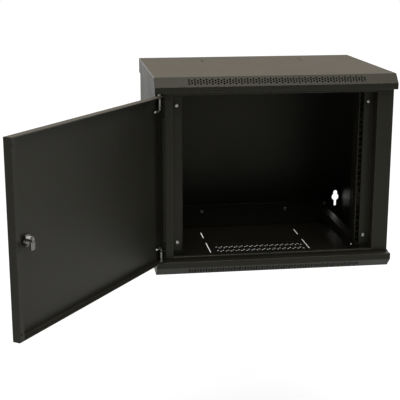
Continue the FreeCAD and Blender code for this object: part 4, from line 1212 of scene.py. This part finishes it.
def lock_nut(sizes):
    """The lock's hexagon nut, its corners chamfered by a cone: r = a / cos of the angle from a flat."""
    least, most = door_reach("lock_nut")
    flat = (most[2] - least[2]) / 2
    angles = full_turn(48)
    six = flat / np.cos(np.mod(angles, np.pi / 3) - np.pi / 6)
    cone = flat * NUT_CONE
    face = np.minimum(six, cone)
    fall = np.maximum(six - cone, 0.0) * NUT_SLOPE
    inner = sizes.lock_hole
    rows = [
        (inner, least[1]), (face, least[1]), (six, least[1] + fall), (six, most[1] - fall),
        (face, most[1]), (inner + CHAMFER, most[1]), (inner, most[1] - CHAMFER), (inner, least[1]),
    ]
    return turned_lock_piece("lock_nut", "door", rows, angles)


def lock_plug(sizes):
    """The lock's plug: keyway in its outer face, and a square drive for the cam."""
    least, most = door_reach("lock_plug")
    cam_face = door_reach("lock_cam")[0][1]
    radius = (most[0] - least[0]) / 2
    drive = sizes.lock_drive / 2
    corner = math.atan2(sizes.keyway_length, sizes.keyway_width)
    angles = full_turn(32, corner, np.pi - corner, np.pi + corner, -corner)
    key = box_reach(angles, sizes.keyway_width / 2, sizes.keyway_length / 2)
    square = box_reach(angles, drive, drive)
    start, shoulder, end = least[1], cam_face - sizes.lock_stub, most[1] - sizes.lock_stub
    key_end = start + sizes.keyway_depth
    bevel = 2 * BROKEN_EDGE
    rows = [
        (0, key_end), (key, key_end), (key, start + BROKEN_EDGE), (key + BROKEN_EDGE, start),
        (radius - bevel, start), (radius, start + bevel), (radius, shoulder),
        (square, shoulder), (square, end - CHAMFER / 2), (square * DRIVE_TIP, end), (0, end),
    ]
    return turned_lock_piece("lock_plug", "lock_cylinder", rows, angles)


def lock_cam(sizes):
    """The lock's cam: a flat tongue with a round end, two round corners and a square hole.

    The cam and its screw keep their own slot, but wear the lock's darkened nickel, whose colour is painted shade
    of the dark room it reflects.
    """
    least, most = door_reach("lock_cam")
    half = (most[0] - least[0]) / 2
    across = (most[0] + least[0]) / 2
    corner = sizes.cam_corner
    sheet = most[1] - least[1]
    level = LOCK[2]
    tip = level - sizes.cam_reach
    outline = np.vstack([
        arc((across + half - corner, tip + corner), corner, -np.pi / 2, 0.0, 6),
        arc((across, level), half, 0.0, np.pi, 17),
        arc((across - half + corner, tip + corner), corner, np.pi, 1.5 * np.pi, 6),
    ])
    room = sizes.lock_drive / 2 + LOCK_PLAY
    hole = rectangle(across - room, level - room, across + room, level + room)
    line = bent_line([(most[1], tip), (most[1], most[2])], sheet, 0.0, -1)
    shift = np.array([0.0, tip])
    corner_place = on_door(0.0, -sizes.lock_stub, 0.0)
    patch = folded(line, outline - shift, [hole - shift], corner_place, (OUT, IN, Z))
    piece = sheet_piece("lock_cam_plate", [patch], sheet, finish("nickel_plate"))
    place(piece, "lock_cylinder", "zinc_plate", "lock_cam")
    least, most = door_reach("cam_screw")
    centre = on_door(across, least[1] - sizes.lock_stub, level)
    head = pan_head(centre, IN, OUT * 0.9 + Z * 0.4, (most[0] - least[0]) / 2,
                    most[1] - least[1], sizes)
    screw = solid_piece("cam_screw_head", [head], finish("nickel_plate"))
    return place(screw, "lock_cylinder", "zinc_plate", "cam_screw")


class CABINET_OT_lock(bpy.types.Operator):
    """Turn the cam lock: barrel, nut, plug, cam and the cam's screw"""

    bl_idname = "cabinet.lock"
    bl_label = "Lock"

    def execute(self, context):
        sizes = context.scene.cabinet_sizes
        lock_barrel(sizes)
        lock_nut(sizes)
        lock_plug(sizes)
        lock_cam(sizes)
        return {"FINISHED"}


def hinge_pin(end, side, sizes):
    """One hinge pin: a rod down the hinge axis, a quarter bend, and a finger tail, with round ends."""
    node = f"hinge_pin_{end}"
    least, most = door_reach(node)
    radius = most[1]
    bend = sizes.pin_bend
    tip = most[2] if side > 0 else least[2]
    tail = (least[2] + radius) if side > 0 else (most[2] - radius)
    swing = np.linspace(0, np.pi / 2, 11)
    cap = radius * np.array(PIN_CAP)
    round_end = radius * np.sqrt(1 - (1 - cap / radius) ** 2)
    leg = np.stack([np.zeros(4), tip - side * cap], -1)
    curve = np.stack([bend * (1 - np.cos(swing)), tail + side * bend * (1 - np.sin(swing))], -1)
    finger = np.stack([most[0] - cap[::-1], np.full(4, tail)], -1)
    places = np.vstack([leg, curve, finger])
    ways = np.vstack([
        np.tile([0.0, -side], (4, 1)), np.stack([np.sin(swing), -side * np.cos(swing)], -1),
        np.tile([1.0, 0.0], (4, 1)),
    ])
    path = on_door(0.0, 0.0, 0.0) + np.outer(places[:, 0], OUT) + np.outer(places[:, 1], Z)
    tangents = np.outer(ways[:, 0], OUT) + np.outer(ways[:, 1], Z)
    thickness = np.concatenate([round_end, np.full(len(swing), radius), round_end[::-1]])
    grid = tube(path, tangents, IN, thickness, 20)
    piece = solid_piece(f"{node}_rod", [grid], finish("zinc_plate"))
    return place(piece, f"pin_{end}", "zinc_plate", node)


def pin_guide(end, side, sizes):
    """One guide: an angle on the door's panel whose ledge the pin slides through."""
    node = f"pin_guide_{end}"
    least, most = door_reach(node)
    face = most[2] if side > 0 else -least[2]
    leg = face - (most[2] - least[2])
    line = bent_line([(most[1], face), (least[1], face), (least[1], leg)],
                     sizes.frame_sheet, sizes.bend_inside, -1)
    hole = rounds([(0.0, most[1])], PIN_HOLE, 24)
    outline = rectangle(least[0], 0.0, most[0], line[2][-1])
    patch = folded(line, outline, hole, on_door(0.0, 0.0, 0.0), (OUT, IN, Z * side))
    piece = sheet_piece(f"{node}_angle", [patch], sizes.frame_sheet, finish("black_powder_coat"))
    return place(piece, "door", "black_powder_coat", node)


def pin_clip(end):
    """One clip: a bevelled ring that holds the spring on the pin."""
    node = f"pin_clip_{end}"
    least, most = door_reach(node)
    radius, bottom, top = most[0], least[2], most[2]
    rows = [
        (PIN_HOLE, bottom), (radius - BROKEN_EDGE, bottom), (radius, bottom + BROKEN_EDGE),
        (radius, top - BROKEN_EDGE), (radius - BROKEN_EDGE, top), (PIN_HOLE, top),
        (PIN_HOLE, bottom),
    ]
    grid = turned(rows, full_turn(28), on_door(0.0, 0.0, 0.0), about(Z, OUT))
    piece = solid_piece(f"{node}_ring", [grid], finish("zinc_plate"))
    return place(piece, f"pin_{end}", "zinc_plate", node)


def hinge_spring(end, sizes):
    """One coil spring: round wire on a helix whose first and last turns lie closed.

    Point = axis + (R cos t, R sin t, h(t)), with h rising by one wire in the closed turns and
    evenly between them.
    """
    node = f"hinge_spring_{end}"
    least, most = door_reach(node)
    wire = sizes.spring_wire
    coil = most[0] - wire
    length = most[2] - least[2] - 2 * wire
    turns = sizes.spring_turns
    s = np.linspace(0, turns, int(turns) * 24 + 1)
    rise = np.interp(s, [0, 1, turns - 1, turns], [0, 2 * wire, length - 2 * wire, length])
    angle = 2 * np.pi * s
    path = on_door(0.0, 0.0, least[2] + wire) + np.outer(coil * np.cos(angle), OUT)
    path = path + np.outer(coil * np.sin(angle), IN) + np.outer(rise, Z)
    tangents = unit(np.gradient(path, axis=0))
    grid = tube(path, tangents, Z, wire, 8)
    middle = grid[:, :-1].mean(1, keepdims=True)
    ends = [np.broadcast_to(middle[index], grid[index].shape)[None] for index in (0, -1)]
    grid = np.concatenate([ends[0], grid, ends[1]])
    piece = solid_piece(f"{node}_coil", [grid], finish("spring_steel"))
    place(piece, "door", "spring_steel", node)
    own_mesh(piece)
    return piece


class CABINET_OT_hinges(bpy.types.Operator):
    """Bend the two sprung hinge pins, with their guides, clips and springs"""

    bl_idname = "cabinet.hinges"
    bl_label = "Hinges"

    def execute(self, context):
        sizes = context.scene.cabinet_sizes
        for end, side in (("top", 1), ("bottom", -1)):
            hinge_pin(end, side, sizes)
            pin_guide(end, side, sizes)
            pin_clip(end)
            hinge_spring(end, sizes)
        return {"FINISHED"}


def studio_world(studio):
    """A plain white studio: light from behind, above and the right, and a darker room in front.

    The camera sees white everywhere, and gloss and glass see white where the backdrop is.
    """
    world = bpy.data.worlds.new("studio")
    world.use_nodes = True
    tree = world.node_tree
    background = tree.nodes["Background"]
    way = add_node(tree, "ShaderNodeSeparateXYZ", {
        0: add_node(tree, "ShaderNodeTexCoord").outputs["Generated"],
    }).outputs
    behind = spread(tree, way["Y"], -0.30, 0.45, 0.0, 1.0)
    light = maths(tree, "MULTIPLY", behind, studio.back_light - studio.room_light)
    light = maths(tree, "ADD", light, studio.room_light)
    above = spread(tree, way["Z"], 0.45, 0.95, 0.0, studio.top_light)
    light = maths(tree, "ADD", light, above)
    right = spread(tree, way["X"], 0.35, 0.90, 0.0, studio.side_light)
    light = maths(tree, "ADD", light, right)
    path = add_node(tree, "ShaderNodeLightPath").outputs
    gloss = maths(tree, "MAXIMUM", path["Is Glossy Ray"], path["Is Transmission Ray"])
    seen = maths(tree, "MULTIPLY", gloss, behind)
    seen = maths(tree, "MAXIMUM", seen, path["Is Camera Ray"])
    strength = add_node(tree, "ShaderNodeMix", {0: seen, 2: light, 3: 1.0}).outputs[0]
    tree.links.new(strength, background.inputs["Strength"])
    background.inputs["Color"].default_value = (1.0, 1.0, 1.0, 1.0)
    return world


def floor(studio):
    """A wide pale floor below the hanging cabinet: a grid of points, level at one height."""
    across = np.linspace(-9.0, 9.0, 7)
    flat = lattice(across, across)
    points = np.column_stack([flat, np.full(len(flat), studio.floor_height)])
    cells = grid_triangles(7, 7)[:, ::-1]
    material, tree, shader, where = new_material("studio_floor")
    shader.inputs["Roughness"].default_value = 0.9
    shader.inputs["Specular IOR Level"].default_value = 0.0
    tone = noise(tree, where, 2.0, 3.0)
    white = mixed(tree, tone, (0.49, 0.49, 0.49), (0.51, 0.51, 0.51))
    tree.links.new(white, shader.inputs["Base Color"])
    path = add_node(tree, "ShaderNodeLightPath").outputs
    seen = maths(tree, "MAXIMUM", path["Is Glossy Ray"], path["Is Transmission Ray"])
    seen = maths(tree, "MULTIPLY", seen, studio.floor_gloss)
    seen = maths(tree, "MAXIMUM", seen, path["Is Camera Ray"])
    glow = maths(tree, "MULTIPLY", seen, studio.floor_glow)
    tree.links.new(glow, shader.inputs["Emission Strength"])
    shader.inputs["Emission Color"].default_value = (1.0, 1.0, 1.0, 1.0)
    ground = add_object("studio_floor", points, cells.tolist(), None, np.zeros(len(cells)), material)


def softbox(name, spot, target, extent, power):
    """One soft lamp that looks at a target and that the camera doesn't see."""
    data = bpy.data.lights.new(name, "AREA")
    data.shape = "RECTANGLE"
    data.size, data.size_y = extent
    data.energy = power
    lamp = bpy.data.objects.new(name, data)
    lamp.location = spot
    lamp.rotation_euler = (Vector(target) - Vector(spot)).to_track_quat("-Z", "Y").to_euler()
    lamp.visible_camera = False
    bpy.context.scene.collection.objects.link(lamp)


class CABINET_OT_stage(bpy.types.Operator):
    """Set up the floor, the lamps, the world and the camera"""

    bl_idname = "cabinet.stage"
    bl_label = "Stage"

    def execute(self, context):
        studio = context.scene.cabinet_studio
        scene = context.scene
        scene.view_settings.view_transform = "Standard"
        data = bpy.data.cameras.new("camera")
        data.lens = studio.camera_lens
        data.sensor_width = 36.0
        data.dof.use_dof = False
        camera = bpy.data.objects.new("camera", data)
        camera.location = studio.camera_place
        camera.rotation_euler = (math.pi / 2 - studio.camera_pitch, 0.0, -studio.camera_yaw)
        scene.collection.objects.link(camera)
        scene.camera = camera
        scene.world = studio_world(studio)
        floor(studio)
        middle = (0.0, 0.0, HEIGHT / 2)
        softbox("overhead_lamp", (0.1, -0.4, 2.6), middle, (2.0, 2.0), studio.overhead_power)
        softbox("front_lamp", (0.0, -2.3, 2.5), middle, (2.6, 0.5), studio.front_power)
        return {"FINISHED"}


class CABINET_OT_nodes(bpy.types.Operator):
    """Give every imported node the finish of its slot"""

    bl_idname = "cabinet.nodes"
    bl_label = "Packed nodes"

    def execute(self, context):
        slot_of = {item["node"]: item["material_slot"] for item in frame["record"]["subparts"]}
        for name, node in frame["nodes"].items():
            node.data.materials.clear()
            node.data.materials.append(finish(slot_of[name]))
        return {"FINISHED"}


GROUPS = (CabinetSizes, CabinetColours, StudioSettings)
OPERATORS = (
    CABINET_OT_stage, CABINET_OT_nodes, CABINET_OT_covers, CABINET_OT_frame, CABINET_OT_shell,
    CABINET_OT_rack, CABINET_OT_door, CABINET_OT_screws, CABINET_OT_lock, CABINET_OT_hinges,
)


class CABINET_PT_panel(bpy.types.Panel):
    """Lists the sizes, the colours and the steps that build the cabinet"""

    bl_idname = "CABINET_PT_panel"
    bl_label = "Network cabinet"
    bl_space_type = "VIEW_3D"
    bl_region_type = "UI"
    bl_category = "Cabinet"

    def draw(self, context):
        layout = self.layout
        for group in (context.scene.cabinet_sizes, context.scene.cabinet_colours,
                      context.scene.cabinet_studio):
            box = layout.box()
            for key in group.bl_rna.properties.keys():
                if key not in ("name", "rna_type"):
                    box.prop(group, key)
        for operator in OPERATORS:
            layout.operator(operator.bl_idname)


def register():
    """Add the groups, the operators and the panel to Blender."""
    for cls in (*GROUPS, *OPERATORS, CABINET_PT_panel):
        bpy.utils.register_class(cls)
    bpy.types.Scene.cabinet_sizes = bpy.props.PointerProperty(type=CabinetSizes)
    bpy.types.Scene.cabinet_colours = bpy.props.PointerProperty(type=CabinetColours)
    bpy.types.Scene.cabinet_studio = bpy.props.PointerProperty(type=StudioSettings)


def unregister():
    """Take them out again."""
    del bpy.types.Scene.cabinet_studio
    del bpy.types.Scene.cabinet_colours
    del bpy.types.Scene.cabinet_sizes
    for cls in reversed((*GROUPS, *OPERATORS, CABINET_PT_panel)):
        bpy.utils.unregister_class(cls)


def main():
    """Build the whole cabinet."""
    register()
    for operator in OPERATORS:
        group, action = operator.bl_idname.split(".")
        getattr(getattr(bpy.ops, group), action)()


if __name__ == "__main__":
    main()
